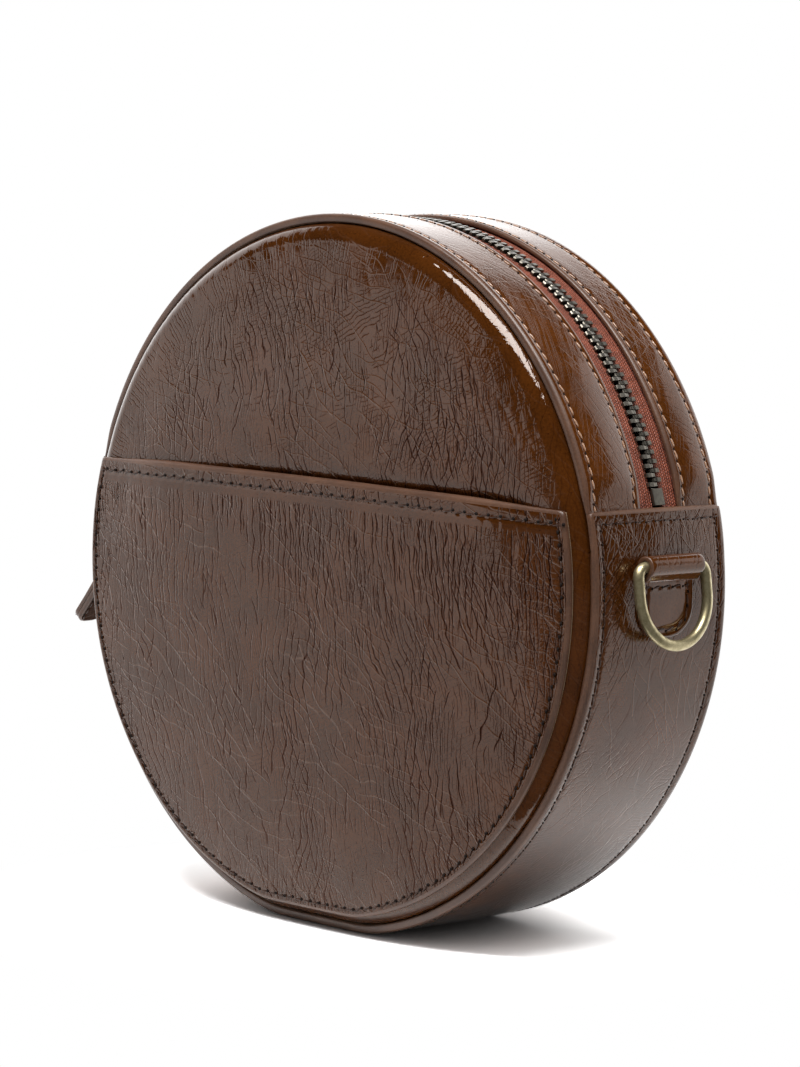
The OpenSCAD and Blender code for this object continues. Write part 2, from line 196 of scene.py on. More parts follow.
def makeStudioGroup(look):
    group, given, result = newGroup("studioSweep", [("Direction", "NodeSocketVector", None)],
                                    [("Shown", "NodeSocketFloat"), ("Brightness", "NodeSocketFloat")])
    parts = addNode(group, "ShaderNodeSeparateXYZ", {0: given["Direction"]}).outputs
    flat = maths(group, "SQRT", maths(group, "ADD", maths(group, "MULTIPLY", parts[0], parts[0]),
                                      maths(group, "MULTIPLY", parts[1], parts[1])))
    degree = 180 / math.pi
    height = maths(group, "MULTIPLY", maths(group, "ARCTAN2", parts[2], flat), degree)
    leftward = maths(group, "MULTIPLY", parts[0], -1.0)
    turn = maths(group, "MULTIPLY", maths(group, "ARCTAN2", leftward, parts[1]), degree)
    soft = look["softness"]
    above = maths(group, "MAXIMUM", height, 0.0)
    rightEnd, leftEnd = (maths(group, "SUBTRACT", turn, maths(group, "MULTIPLY", above, lean))
                         for lean in look["sweepLean"])
    right = remap(group, rightEnd, look["sweepFrom"] - soft, look["sweepFrom"] + soft)
    left = remap(group, leftEnd, look["sweepTo"] - soft, look["sweepTo"] + soft, 1.0, 0.0)
    top = remap(group, turn, look["dropFrom"], look["dropTo"], look["backHeight"], look["frontHeight"])
    below = remap(group, maths(group, "SUBTRACT", height, top), -soft, soft, 1.0, 0.0)
    lit = maths(group, "MULTIPLY", maths(group, "MULTIPLY", right, left), below)
    level = remap(group, lit, 0.0, 1.0, look["unlit"], 1.0, smooth=False)
    group.links.new(level, result["Shown"])
    bright = remap(group, turn, *look["leftFade"], look["backLevel"], look["frontLevel"], smooth=False)
    bright = maths(group, "MINIMUM", bright, remap(group, turn, *look["rightFade"], look["backLevel"],
                                                   look["rightLevel"], smooth=False))
    bright = maths(group, "MULTIPLY", bright, remap(group, height, look["topFade"], look["backHeight"], 1.0,
                                                    look["topLevel"]))
    group.links.new(maths(group, "MULTIPLY", level, bright), result["Brightness"])
    return group


studioGroup = makeStudioGroup(studio)


def makeWorld(look):
    world = bpy.data.worlds.new("studioWorld")
    world.use_nodes = True
    tree = world.node_tree
    tree.nodes.clear()
    path = addNode(tree, "ShaderNodeLightPath").outputs
    direction = addNode(tree, "ShaderNodeTexCoord").outputs["Generated"]
    sweep = useGroup(tree, studioGroup, {"Direction": direction})["Brightness"]
    mirrored = maths(tree, "MAXIMUM", path["Is Glossy Ray"], path["Is Transmission Ray"])
    seen = maths(tree, "MAXIMUM", path["Is Camera Ray"], maths(tree, "MULTIPLY", mirrored, sweep))
    background = maths(tree, "MAXIMUM", path["Is Camera Ray"], mirrored)
    strength = maths(tree, "ADD", seen, maths(
        tree, "MULTIPLY", maths(tree, "SUBTRACT", 1.0, background), look["roomLight"]))
    shader = addNode(tree, "ShaderNodeBackground", {"Color": (1, 1, 1, 1), "Strength": strength})
    output = addNode(tree, "ShaderNodeOutputWorld")
    tree.links.new(shader.outputs[0], output.inputs["Surface"])
    bpy.context.scene.world = world


def makeFloor(look):
    material = bpy.data.materials.new("paleFloor")
    material.use_nodes = True
    tree = material.node_tree
    tree.nodes.clear()
    path = addNode(tree, "ShaderNodeLightPath").outputs
    place = addNode(tree, "ShaderNodeTexCoord").outputs["Object"]
    moved = addNode(tree, "ShaderNodeVectorMath", {0: place, 1: look["floorMiddle"]},
                    operation="ADD").outputs[0]
    sweep = useGroup(tree, studioGroup, {"Direction": moved})
    mirrored = maths(tree, "MAXIMUM", path["Is Glossy Ray"], path["Is Transmission Ray"])
    pool = maths(tree, "MAXIMUM", sweep["Brightness"], look["floorAtFront"] * look["frontLevel"])
    away = addNode(tree, "ShaderNodeVectorMath", {0: place}, operation="LENGTH").outputs["Value"]
    # Painted shade: the floor's colour to the camera is darker near the object's middle, which deepens the
    # contact shadow, and paler further out, which whitens the rest
    seen = remap(tree, away, *look["seenReach"], *look["floorShadeToWhite"])
    whiter = addNode(tree, "ShaderNodeCombineColor", {"Red": seen, "Green": seen, "Blue": seen}).outputs[0]
    shaded = blendColours(tree, path["Is Camera Ray"], look["floorColour"], whiter)
    pale = addNode(tree, "ShaderNodeCombineColor", {
        part: maths(tree, "MULTIPLY", pool, look["floorMirrored"]) for part in ("Red", "Green", "Blue")})
    shaded = blendColours(tree, mirrored, shaded, pale.outputs[0])
    diffuse = addNode(tree, "ShaderNodeBsdfDiffuse", {"Color": shaded})
    far = maths(tree, "MULTIPLY", maths(tree, "MAXIMUM", path["Is Camera Ray"], mirrored),
                remap(tree, away, *look["shadowReach"]))
    plain = addNode(tree, "ShaderNodeEmission", {"Color": (1, 1, 1, 1), "Strength": maths(
        tree, "ADD", path["Is Camera Ray"], maths(tree, "MULTIPLY", mirrored, maths(
            tree, "MULTIPLY", pool, look["floorGlow"])))})
    mixed = addNode(tree, "ShaderNodeMixShader", {0: far, 1: diffuse.outputs[0], 2: plain.outputs[0]})
    output = addNode(tree, "ShaderNodeOutputMaterial")
    tree.links.new(mixed.outputs[0], output.inputs["Surface"])
    half = look["floorSize"] / 2
    mesh = bpy.data.meshes.new("floor")
    corners = [(-half, -half, 0), (half, -half, 0), (half, half, 0), (-half, half, 0)]
    mesh.from_pydata(corners, [], [(0, 1, 2, 3)])
    mesh.materials.append(material)
    floor = bpy.data.objects.new("floor", mesh)
    bpy.context.scene.collection.objects.link(floor)


# Lamps: degrees round from the front, positive to the right, degrees up, metres away, metres wide and watts
lamps = {
    "overheadLamp": {"azimuth": 33.0, "elevation": 70.0, "distance": 1.2, "width": 0.90, "height": 0.58,
                     "power": 27.0},
}


def addLamp(name, lamp):
    data = bpy.data.lights.new(name, "AREA")
    data.shape = "RECTANGLE"
    data.size, data.size_y = lamp["width"], lamp["height"]
    data.energy = lamp["power"]
    azimuth, elevation = math.radians(lamp["azimuth"]), math.radians(lamp["elevation"])
    away = Vector((math.sin(azimuth) * math.cos(elevation), -math.cos(azimuth) * math.cos(elevation),
                   math.sin(elevation)))
    light = bpy.data.objects.new(name, data)
    light.location = away * lamp["distance"] + Vector((0, 0, roundBody["middleHeight"] * mm))
    light.rotation_mode = "QUATERNION"
    light.rotation_quaternion = away.to_track_quat("Z", "Y")
    light.visible_camera = False
    bpy.context.scene.collection.objects.link(light)


makeWorld(studio)
makeFloor(studio)
for lampName, lampValues in lamps.items():
    addLamp(lampName, lampValues)
print("camera, floor and lamps placed")


# Leather, cloth and metal

creaseForm = {
    "swayScale": 26.0,  # how often in a metre the creases sway together
    "waver": 0.35,  # how often in one spacing each wavers by itself
    "middle": (0.25, 0.5),  # where in its lane a crease lies: the least share, and how much more
    "laneStep": 3.7,  # keep the breaks of neighbouring creases apart
    "laneShift": 37.0,
    "patchLength": 0.6,  # patches are longer along the creases
    "patchShare": 1.3,
    "breaks": (0.22, 0.44),  # how high the noise has to be for a crease, and what cover takes off it
    "fade": (0.10, 0.12),
    "thinnest": 0.35,  # the share of its width that a crease has at its ends
}


def makeCreaseGroup(form):
    # Long thin creases side by side, each with its own place, breaks and depth, that sway together
    group, given, result = newGroup("leatherCreases", [
        ("Vector", "NodeSocketVector", None), ("Turn", "NodeSocketFloat", 0.0),
        ("Spacing", "NodeSocketFloat", 0.003), ("Length", "NodeSocketFloat", 0.02),
        ("Width", "NodeSocketFloat", 0.0003), ("Patch", "NodeSocketFloat", 0.02),
        ("Cover", "NodeSocketFloat", 0.5), ("Sway", "NodeSocketFloat", 0.01),
        ("Seed", "NodeSocketFloat", 0.0)], [("Line", "NodeSocketFloat")])

    def noise(vector, scale, detail=0.0):
        found = addNode(group, "ShaderNodeTexNoise", {"Vector": vector, "Scale": scale, "Detail": detail},
                        noise_dimensions="2D").outputs[0]
        return maths(group, "SUBTRACT", found, 0.5)

    turned = addNode(group, "ShaderNodeVectorRotate",
                     {"Vector": given["Vector"], "Angle": maths(group, "RADIANS", given["Turn"])},
                     rotation_type="Z_AXIS").outputs[0]
    parts = addNode(group, "ShaderNodeSeparateXYZ", {0: turned}).outputs
    sway = maths(group, "MULTIPLY", noise(turned, form["swayScale"], 1.0), given["Sway"])
    waverScale = maths(group, "DIVIDE", form["waver"], given["Spacing"])
    waver = maths(group, "MULTIPLY", noise(turned, waverScale, 1.0), given["Spacing"])
    across = maths(group, "ADD", maths(group, "DIVIDE", maths(
        group, "ADD", parts[0], maths(group, "ADD", sway, waver)), given["Spacing"]), given["Seed"])
    lane = maths(group, "FLOOR", across)
    chance = addNode(group, "ShaderNodeTexWhiteNoise", {"W": lane}, noise_dimensions="1D").outputs[0]
    middle = maths(group, "ADD", form["middle"][0], maths(group, "MULTIPLY", chance, form["middle"][1]))
    away = maths(group, "MULTIPLY", maths(group, "ABSOLUTE", maths(
        group, "SUBTRACT", maths(group, "FRACT", across), middle)), given["Spacing"])
    along = addNode(group, "ShaderNodeCombineXYZ", {
        0: maths(group, "MULTIPLY", lane, form["laneStep"]),
        1: maths(group, "ADD", maths(group, "DIVIDE", parts[1], given["Length"]),
                 maths(group, "MULTIPLY", chance, form["laneShift"]))}).outputs[0]
    spot = addNode(group, "ShaderNodeCombineXYZ", {
        0: maths(group, "ADD", parts[0], given["Seed"]),
        1: maths(group, "MULTIPLY", parts[1], form["patchLength"])}).outputs[0]
    patches = noise(spot, maths(group, "DIVIDE", 1.0, given["Patch"]), 1.0)
    shown = maths(group, "ADD", noise(along, 1.0), maths(group, "MULTIPLY", patches, form["patchShare"]))
    least = maths(group, "SUBTRACT", form["breaks"][0], maths(group, "MULTIPLY", given["Cover"],
                                                              form["breaks"][1]))
    kept = remap(group, shown, maths(group, "SUBTRACT", least, form["fade"][0]),
                 maths(group, "ADD", least, form["fade"][1]))
    wide = maths(group, "ADD", form["thinnest"], maths(group, "MULTIPLY", kept, 1 - form["thinnest"]))
    half = maths(group, "MULTIPLY", given["Width"], wide)
    near = maths(group, "MAXIMUM", maths(group, "SUBTRACT", 1.0, maths(group, "DIVIDE", away, half)), 0.0)
    group.links.new(maths(group, "MULTIPLY", near, kept), result["Line"])
    return group


def makeGrainGroup():
    group, given, result = newGroup("leatherGrain", [
        ("Vector", "NodeSocketVector", None), ("Size", "NodeSocketFloat", 0.0012)],
        [("Height", "NodeSocketFloat"), ("Pores", "NodeSocketFloat")])
    scale = maths(group, "DIVIDE", 1.0, given["Size"])
    soft = addNode(group, "ShaderNodeTexNoise", {
        "Vector": given["Vector"], "Scale": scale, "Detail": 4.0, "Roughness": 0.62}).outputs[0]
    cells = addNode(group, "ShaderNodeTexVoronoi", {
        "Vector": given["Vector"], "Scale": maths(group, "MULTIPLY", scale, 0.9)},
        feature="SMOOTH_F1").outputs["Distance"]
    group.links.new(maths(group, "ADD", maths(group, "MULTIPLY", soft, 0.75),
                          maths(group, "MULTIPLY", cells, 0.35)), result["Height"])
    group.links.new(remap(group, soft, 0.56, 0.72), result["Pores"])
    return group


def makeDriftGroup():
    group, given, result = newGroup("colourDrift", [
        ("Vector", "NodeSocketVector", None), ("Deep", "NodeSocketColor", None),
        ("Warm", "NodeSocketColor", None), ("Size", "NodeSocketFloat", 0.03)],
        [("Colour", "NodeSocketColor")])
    scale = maths(group, "DIVIDE", 1.0, given["Size"])
    wide = addNode(group, "ShaderNodeTexNoise", {
        "Vector": given["Vector"], "Scale": scale, "Detail": 2.0, "Roughness": 0.5}).outputs[0]
    fine = addNode(group, "ShaderNodeTexNoise", {
        "Vector": given["Vector"], "Scale": maths(group, "MULTIPLY", scale, 22.0), "Detail": 2.0}).outputs[0]
    mix = remap(group, maths(group, "ADD", maths(group, "MULTIPLY", wide, 0.55),
                             maths(group, "MULTIPLY", fine, 0.45)), 0.36, 0.64)
    group.links.new(blendColours(group, mix, given["Deep"], given["Warm"]), result["Colour"])
    return group


creaseGroup, grainGroup, driftGroup = makeCreaseGroup(creaseForm), makeGrainGroup(), makeDriftGroup()


def newMaterial(name):
    material = bpy.data.materials.new(name)
    material.use_nodes = True
    tree = material.node_tree
    tree.nodes.clear()
    shader = addNode(tree, "ShaderNodeBsdfPrincipled")
    output = addNode(tree, "ShaderNodeOutputMaterial")
    tree.links.new(shader.outputs[0], output.inputs["Surface"])
    return material, tree, shader


def setShader(tree, shader, values):
    for key, value in values.items():
        if isinstance(value, bpy.types.NodeSocket):
            tree.links.new(value, shader.inputs[key])
        elif isinstance(value, tuple):
            shader.inputs[key].default_value = (*value, 1.0)
        else:
            shader.inputs[key].default_value = value


def cutCoordinates(tree):
    return addNode(tree, "ShaderNodeAttribute", attribute_name="cut").outputs["Vector"]


patentLook = {
    # A darker, shaded copy of the leather's colour: painted shade on the panels, pocket and gusset
    "deep": (0.034, 0.0095, 0.0013),
    "warm": (0.053, 0.0150, 0.0021),
    # the colour painted into the creases and pores as shade
    "crease": (0.026, 0.0060, 0.0016),
    "gloss": 0.05,
    "specular": 0.5,
    "grainSize": 0.0009,
    "grainHeight": 0.000004,
    "families": [  # turns in degrees, sizes in metres, and cover and tone as shares; tone is how much painted shade a crease gets
        {"turn": 4.0, "spacing": 0.0024, "length": 0.011, "width": 0.00030, "patch": 0.036, "cover": 0.40,
         "depth": 0.000080, "sway": 0.012, "tone": 0.9, "seed": 3.1},
        {"turn": -20.0, "spacing": 0.0021, "length": 0.008, "width": 0.00027, "patch": 0.030, "cover": 0.40,
         "depth": 0.000065, "sway": 0.010, "tone": 0.8, "seed": 9.4},
        {"turn": -5.0, "spacing": 0.0011, "length": 0.0042, "width": 0.00019, "patch": 0.012, "cover": 0.52,
         "depth": 0.000028, "sway": 0.010, "tone": 0.42, "seed": 31.9},
        {"turn": 62.0, "spacing": 0.0013, "length": 0.0036, "width": 0.00019, "patch": 0.011, "cover": 0.48,
         "depth": 0.000026, "sway": 0.010, "tone": 0.22, "seed": 37.2},
    ],
    "glossLost": 0.07,  # how much rougher the creases are
    "creaseShade": 0.92,  # painted shade: how much of the sheen their depths lose
    # how much painted shade the pores get
    "poreShade": 0.44,
    "rimCalm": 1.0,  # the share of the creases that stays near a seam, and how far from it they come back
    "rimReach": (0.003, 0.017),
    "veins": [  # raised ridges across the creases, lightened by a painted highlight
        {"turn": -52.0, "spacing": 0.0050, "length": 0.026, "width": 0.00032, "patch": 0.034, "cover": 0.43,
         "depth": 0.000062, "sway": 0.014, "seed": 22.3},
        {"turn": -76.0, "spacing": 0.0038, "length": 0.016, "width": 0.00027, "patch": 0.032, "cover": 0.40,
         "depth": 0.000052, "sway": 0.014, "seed": 64.8},
    ],
    "veinHighlight": (0.120, 0.072, 0.050),
    "veinHighlightShare": 0.4,
    "driftSize": 0.016,
    "pleats": {"turn": 0.0, "spacing": 0.0014, "length": 0.0045, "width": 0.00026, "patch": 0.009,
               "cover": 0.75, "depth": 0.000050, "sway": 0.0040, "tone": 0.15, "seed": 44.2},
    "pleatsReach": (0.0020, 0.0140),  # how far from a seam they fade out
    "hanging": {"turn": -3.0, "spacing": 0.0021, "length": 0.014, "width": 0.00033, "patch": 0.016,
                "cover": 0.66, "depth": 0.000085, "sway": 0.006, "tone": 1.0, "seed": 57.5},
    "hangingReach": (0.008, 0.050),  # the same below the pocket's mouth
}


def makePatent(name, look, turn=0.0, strength=1.0):
    material, tree, shader = newMaterial(name)
    cut = cutCoordinates(tree)
    seam = addNode(tree, "ShaderNodeAttribute", attribute_name="seam").outputs["Vector"]
    fromSeam = addNode(tree, "ShaderNodeSeparateXYZ", {0: seam}).outputs

    def creases(family, place, turned):
        values = {key.capitalize(): family[key] for key in
                  ("spacing", "length", "width", "patch", "cover", "sway", "seed")}
        values.update({"Vector": place, "Turn": family["turn"] + turned})
        return useGroup(tree, creaseGroup, values)["Line"]

    calm = remap(tree, fromSeam[1], *look["rimReach"], look["rimCalm"], 1.0)
    lines = [(maths(tree, "MULTIPLY", creases(family, cut, turn), calm), family)
             for family in look["families"]]
    # Fine pleats run in from the seams, and longer ones hang from the pocket's mouth
    for key, place, distance in (("pleats", seam, fromSeam[1]), ("hanging", cut, fromSeam[2])):
        reach = maths(tree, "MULTIPLY", remap(tree, distance, 0.0, 0.001),
                      remap(tree, distance, *look[key + "Reach"], 1.0, 0.0))
        lines.append((maths(tree, "MULTIPLY", creases(look[key], place, 0.0), reach), look[key]))
    # The creases' tones make one mask of painted shade
    height, dark = None, None
    for line, family in lines:
        step = maths(tree, "MULTIPLY", line, -family["depth"])
        height = step if height is None else maths(tree, "ADD", height, step)
        toned = maths(tree, "MULTIPLY", remap(tree, line, 0.0, 0.55), family["tone"])
        dark = toned if dark is None else maths(tree, "MAXIMUM", dark, toned)
    # The strip of leather above the mouth's seam is stretched smooth
    smoothed = maths(tree, "MULTIPLY", remap(tree, fromSeam[2], 0.0026, 0.0036), strength)
    dark = maths(tree, "MULTIPLY", dark, smoothed)
    height = maths(tree, "MULTIPLY", height, smoothed)
    veins = 0.0
    for family in look["veins"]:
        line = maths(tree, "MULTIPLY", maths(tree, "MULTIPLY", creases(family, cut, turn), smoothed), calm)
        height = maths(tree, "ADD", height, maths(tree, "MULTIPLY", line, family["depth"]))
        veins = maths(tree, "MAXIMUM", veins, line)
    grain = useGroup(tree, grainGroup, {"Vector": cut, "Size": look["grainSize"]})
    height = maths(tree, "ADD", height, maths(tree, "MULTIPLY", grain["Height"], look["grainHeight"]))
    ground = useGroup(tree, driftGroup, {"Vector": cut, "Deep": (*look["deep"], 1),
                                         "Warm": (*look["warm"], 1), "Size": look["driftSize"]})["Colour"]
    # Painted shade: the pores darken the colour and lose sheen too
    dark = maths(tree, "MAXIMUM", dark, maths(tree, "MULTIPLY", grain["Pores"], look["poreShade"]))
    # Painted highlight: the veins' ridges are lightened towards the vein colour
    colour = blendColours(tree, maths(tree, "MULTIPLY", veins, look["veinHighlightShare"]), ground, look["veinHighlight"])
    colour = blendColours(tree, dark, colour, look["crease"])
    rough = remap(tree, dark, 0.15, 0.75, look["gloss"], look["gloss"] + look["glossLost"])
    # Painted shade: in the creases and pores the colour is darkened and it mirrors as little as that colour,
    # which stands in for the creases' shade and lost sheen
    shade = maths(tree, "MULTIPLY", dark, look["creaseShade"])
    bump = addNode(tree, "ShaderNodeBump", {"Height": height, "Distance": 1.0, "Strength": 1.0}).outputs[0]
    setShader(tree, shader, {
        "Base Color": colour, "Metallic": shade, "Roughness": rough, "IOR": 1.5,
        "Specular IOR Level": look["specular"], "Specular Tint": (1.0, 0.91, 0.85), "Normal": bump})
    return material


def makeEdgePaint():
    material, tree, shader = newMaterial("edgePaint")
    place = addNode(tree, "ShaderNodeTexCoord").outputs["Object"]
    grain = useGroup(tree, grainGroup, {"Vector": place, "Size": 0.0016})
    colour = useGroup(tree, driftGroup, {"Vector": place, "Deep": (0.056, 0.023, 0.011, 1),
                                         "Warm": (0.094, 0.041, 0.020, 1), "Size": 0.012})["Colour"]
    bump = addNode(tree, "ShaderNodeBump", {"Height": grain["Height"], "Distance": 0.00004, "Strength": 1.0})
    setShader(tree, shader, {"Base Color": colour, "Roughness": 0.46, "IOR": 1.46, "Coat Weight": 0.25,
                             "Coat Roughness": 0.3, "Normal": bump.outputs[0]})
    return material


def makeBacking():
    material, tree, shader = newMaterial("backingLeather")
    place = addNode(tree, "ShaderNodeTexCoord").outputs["Object"]
    grain = useGroup(tree, grainGroup, {"Vector": place, "Size": 0.0008})
    colour = useGroup(tree, driftGroup, {"Vector": place, "Deep": (0.13, 0.075, 0.042, 1),
                                         "Warm": (0.20, 0.125, 0.075, 1), "Size": 0.010})["Colour"]
    bump = addNode(tree, "ShaderNodeBump", {"Height": grain["Height"], "Distance": 0.0002, "Strength": 1.0})
    setShader(tree, shader, {"Base Color": colour, "Roughness": 0.85, "Normal": bump.outputs[0]})
    return material


def makeWovenGroup():
    group, given, result = newGroup("wovenThreads", [
        ("Vector", "NodeSocketVector", None), ("Pitch", "NodeSocketFloat", 0.0006)],
        [("Height", "NodeSocketFloat"), ("Gaps", "NodeSocketFloat")])
    # Ribs run along the cloth, each a row of slanted threads that lean the other way in the next rib
    parts = addNode(group, "ShaderNodeSeparateXYZ", {0: given["Vector"]}).outputs
    rows = maths(group, "DIVIDE", parts[1], given["Pitch"])
    side = maths(group, "FRACT", rows)
    lean = maths(group, "SUBTRACT", maths(group, "MULTIPLY", maths(
        group, "FLOORED_MODULO", maths(group, "FLOOR", rows), 2.0), 2.0), 1.0)
    along = maths(group, "ADD", maths(group, "DIVIDE", parts[0], given["Pitch"]),
                  maths(group, "MULTIPLY", maths(group, "MULTIPLY", side, lean), 0.6))
    rib = maths(group, "SINE", maths(group, "MULTIPLY", side, math.pi))
    thread = maths(group, "ABSOLUTE", maths(group, "SINE", maths(group, "MULTIPLY", along, math.pi)))
    weave = maths(group, "MULTIPLY", maths(group, "SQRT", rib), maths(
        group, "ADD", maths(group, "MULTIPLY", thread, 0.5), 0.5))
    group.links.new(weave, result["Height"])
    group.links.new(remap(group, weave, 0.25, 0.8, 1.0, 0.0), result["Gaps"])
    return group


wovenGroup = makeWovenGroup()


def makeCloth(name, deep, warm, pitch, roughness, depth):
    material, tree, shader = newMaterial(name)
    cut = cutCoordinates(tree)
    weave = useGroup(tree, wovenGroup, {"Vector": cut, "Pitch": pitch})
    ground = useGroup(tree, driftGroup, {"Vector": cut, "Deep": (*deep, 1), "Warm": (*warm, 1),
                                         "Size": 0.0024})["Colour"]
    # Painted shade: the gaps between the threads are darkened towards a third of the deep colour
    shade = tuple(0.35 * part for part in deep)
    colour = blendColours(tree, maths(tree, "MULTIPLY", weave["Gaps"], 0.7), ground, shade)
    bump = addNode(tree, "ShaderNodeBump", {"Height": weave["Height"], "Distance": depth, "Strength": 1.0})
    setShader(tree, shader, {"Base Color": colour, "Roughness": roughness, "Specular IOR Level": 0.3,
                             "Normal": bump.outputs[0]})
    return material


def makeFoam():
    material, tree, shader = newMaterial("paddingFoam")
    place = addNode(tree, "ShaderNodeTexCoord").outputs["Object"]
    cells = addNode(tree, "ShaderNodeTexVoronoi", {"Vector": place, "Scale": 900.0}).outputs["Distance"]
    colour = blendColours(tree, cells, (0.62, 0.58, 0.50), (0.45, 0.41, 0.34))
    bump = addNode(tree, "ShaderNodeBump", {"Height": cells, "Distance": 0.0004, "Strength": 1.0})
    setShader(tree, shader, {"Base Color": colour, "Roughness": 0.95, "Normal": bump.outputs[0]})
    return material


def makeThread(name, deep, warm, sheen, rough=0.42):
    material, tree, shader = newMaterial(name)
    place = addNode(tree, "ShaderNodeTexCoord").outputs["Object"]
    twist = addNode(tree, "ShaderNodeTexNoise", {"Vector": place, "Scale": 2600.0, "Detail": 2.0}).outputs[0]
    colour = blendColours(tree, twist, deep, warm)
    bump = addNode(tree, "ShaderNodeBump", {"Height": twist, "Distance": 0.00015, "Strength": 1.0})
    setShader(tree, shader, {"Base Color": colour, "Roughness": rough, "Specular IOR Level": 0.25,
                             "Coat Weight": sheen, "Coat Roughness": 0.15, "Normal": bump.outputs[0]})
    return material


def makeMetal(name, bright, dull, roughness, spots, metallic):
    material, tree, shader = newMaterial(name)
    place = addNode(tree, "ShaderNodeTexCoord").outputs["Object"]
    cloud = addNode(tree, "ShaderNodeTexNoise", {"Vector": place, "Scale": spots, "Detail": 6.0,
                                                 "Roughness": 0.75}).outputs[0]
    patina = remap(tree, cloud, 0.36, 0.74)
    colour = blendColours(tree, patina, bright, dull)
    rough = remap(tree, cloud, 0.35, 0.7, roughness - 0.05, roughness + 0.08)
    fine = addNode(tree, "ShaderNodeTexNoise", {"Vector": place, "Scale": spots * 9,
                                                "Detail": 2.0}).outputs[0]
    bump = addNode(tree, "ShaderNodeBump", {"Height": fine, "Distance": 0.000008, "Strength": 1.0})
    setShader(tree, shader, {"Base Color": colour, "Metallic": metallic, "Roughness": rough,
                             "Normal": bump.outputs[0]})
    return material


# Painted light: a lighter copy of the same leather's colour, for the zip strips and ring loops
litPatentLook = {**patentLook, "deep": (0.050, 0.0142, 0.0022), "warm": (0.074, 0.0215, 0.0034)}
stripLook = {**litPatentLook, "grainHeight": 0.000002, "poreShade": 0.25}
# Painted shade: the pull is the same patent leather, made darker and with almost no sheen
shadedPullLook = {**patentLook, "deep": (0.020, 0.0060, 0.0010), "warm": (0.032, 0.0095, 0.0015), "gloss": 0.42,
            "specular": 0.02}
materials = {
    "patent": makePatent("patentLeather", patentLook),
    "patentPanel": makePatent("patentLeatherPanel", {**patentLook, "rimCalm": 0.22}),
    "patentBand": makePatent("patentLeatherBand", patentLook, turn=-56.0, strength=0.5),
    "patentStrip": makePatent("patentLeatherStrip", stripLook, turn=58.0, strength=0.28),
    "patentStrap": makePatent("patentLeatherStrap", litPatentLook, turn=60.0, strength=0.12),
    "pullLeatherShaded": makePatent("pullLeatherShaded", shadedPullLook, strength=0.6),
    "edgePaint": makeEdgePaint(),
    "backing": makeBacking(),
    "lining": makeCloth("liningCloth", (0.20, 0.135, 0.080), (0.27, 0.19, 0.12), 0.0007, 0.8, 0.0001),
    "tape": makeCloth("wovenTape", (0.15, 0.039, 0.021), (0.30, 0.084, 0.047), 0.00085, 0.45, 0.00040),
    "foam": makeFoam(),
    "threadDark": makeThread("threadDark", (0.016, 0.006, 0.003), (0.056, 0.022, 0.011), 0.06),
    "threadLight": makeThread("threadLight", (0.20, 0.100, 0.056), (0.40, 0.24, 0.15), 1.0),
    # painted shadow for the needle holes between the stitches
    "needleHoleShadow": makeThread("needleHoleShadow", (0.005, 0.002, 0.001), (0.010, 0.004, 0.002), 0.0, 0.95),
    "brass": makeMetal("antiqueBrass", (0.50, 0.43, 0.26), (0.26, 0.22, 0.115), 0.38, 420.0, 0.88),
    "gunmetal": makeMetal("zipGunmetal", (0.16, 0.145, 0.12), (0.085, 0.076, 0.063), 0.33, 900.0, 0.93),
}
print("materials made")


# Shared shape tools

def gradientNoise(x, y, seed, cells=64):
    turns = np.random.default_rng(seed).uniform(0, 2 * np.pi, (cells, cells))
    x0, y0 = np.floor(x).astype(int), np.floor(y).astype(int)
    dx, dy = x - x0, y - y0

    def corner(i, j):
        turn = turns[(x0 + i) % cells, (y0 + j) % cells]
        return np.cos(turn) * (dx - i) + np.sin(turn) * (dy - j)

    sx, sy = dx * dx * (3 - 2 * dx), dy * dy * (3 - 2 * dy)
    low = corner(0, 0) * (1 - sx) + corner(1, 0) * sx
    high = corner(0, 1) * (1 - sx) + corner(1, 1) * sx
    return 1.5 * (low * (1 - sy) + high * sy)


def smoothStep(value, low, high):
    t = np.clip((value - low) / (high - low), 0, 1)
    return t * t * (3 - 2 * t)


def softMax(value, floor, blend=0.6):
    return 0.5 * (value + floor + np.sqrt((value - floor) ** 2 + blend ** 2))


softWaves = {"size": 34.0, "height": 0.16, "fineSize": 11.0, "fineHeight": 0.035, "swaySize": 17.0,
             "sway": 2.4}
pressedCreases = [
    {"turn": 4.0, "spacing": 7.5, "length": 60.0, "width": 0.18, "patch": 26.0, "depth": 0.040, "seed": 41},
    {"turn": 28.0, "spacing": 6.5, "length": 44.0, "width": 0.16, "patch": 22.0, "depth": 0.030, "seed": 52},
    {"turn": -22.0, "spacing": 6.0, "length": 30.0, "width": 0.16, "patch": 20.0, "depth": 0.022, "seed": 63},
]


def broadWaves(a, b, seed):
    return softWaves["height"] * gradientNoise(a / softWaves["size"], b / softWaves["size"], seed)


def leatherRelief(a, b, seed, turn=0.0, depth=1.0):
    fine = gradientNoise(a / softWaves["fineSize"], b / softWaves["fineSize"], seed + 1)
    rise = broadWaves(a, b, seed) + softWaves["fineHeight"] * fine
    swaySize = softWaves["swaySize"]
    for crease in pressedCreases:
        angle = math.radians(crease["turn"] + turn)
        across = a * math.cos(angle) + b * math.sin(angle)
        along = -a * math.sin(angle) + b * math.cos(angle)
        sway = gradientNoise(a / swaySize, b / swaySize, seed + crease["seed"] + 1)
        across = across + softWaves["sway"] * sway
        field = gradientNoise(across / crease["spacing"], along / crease["length"], seed + crease["seed"])
        line = np.clip(1 - np.abs(field) / crease["width"], 0, 1) ** 2
        patch = smoothStep(gradientNoise(a / crease["patch"], b / crease["patch"], seed + crease["seed"] + 2),
                           -0.25, 0.35)
        rise = rise - depth * crease["depth"] * line * patch
    return rise


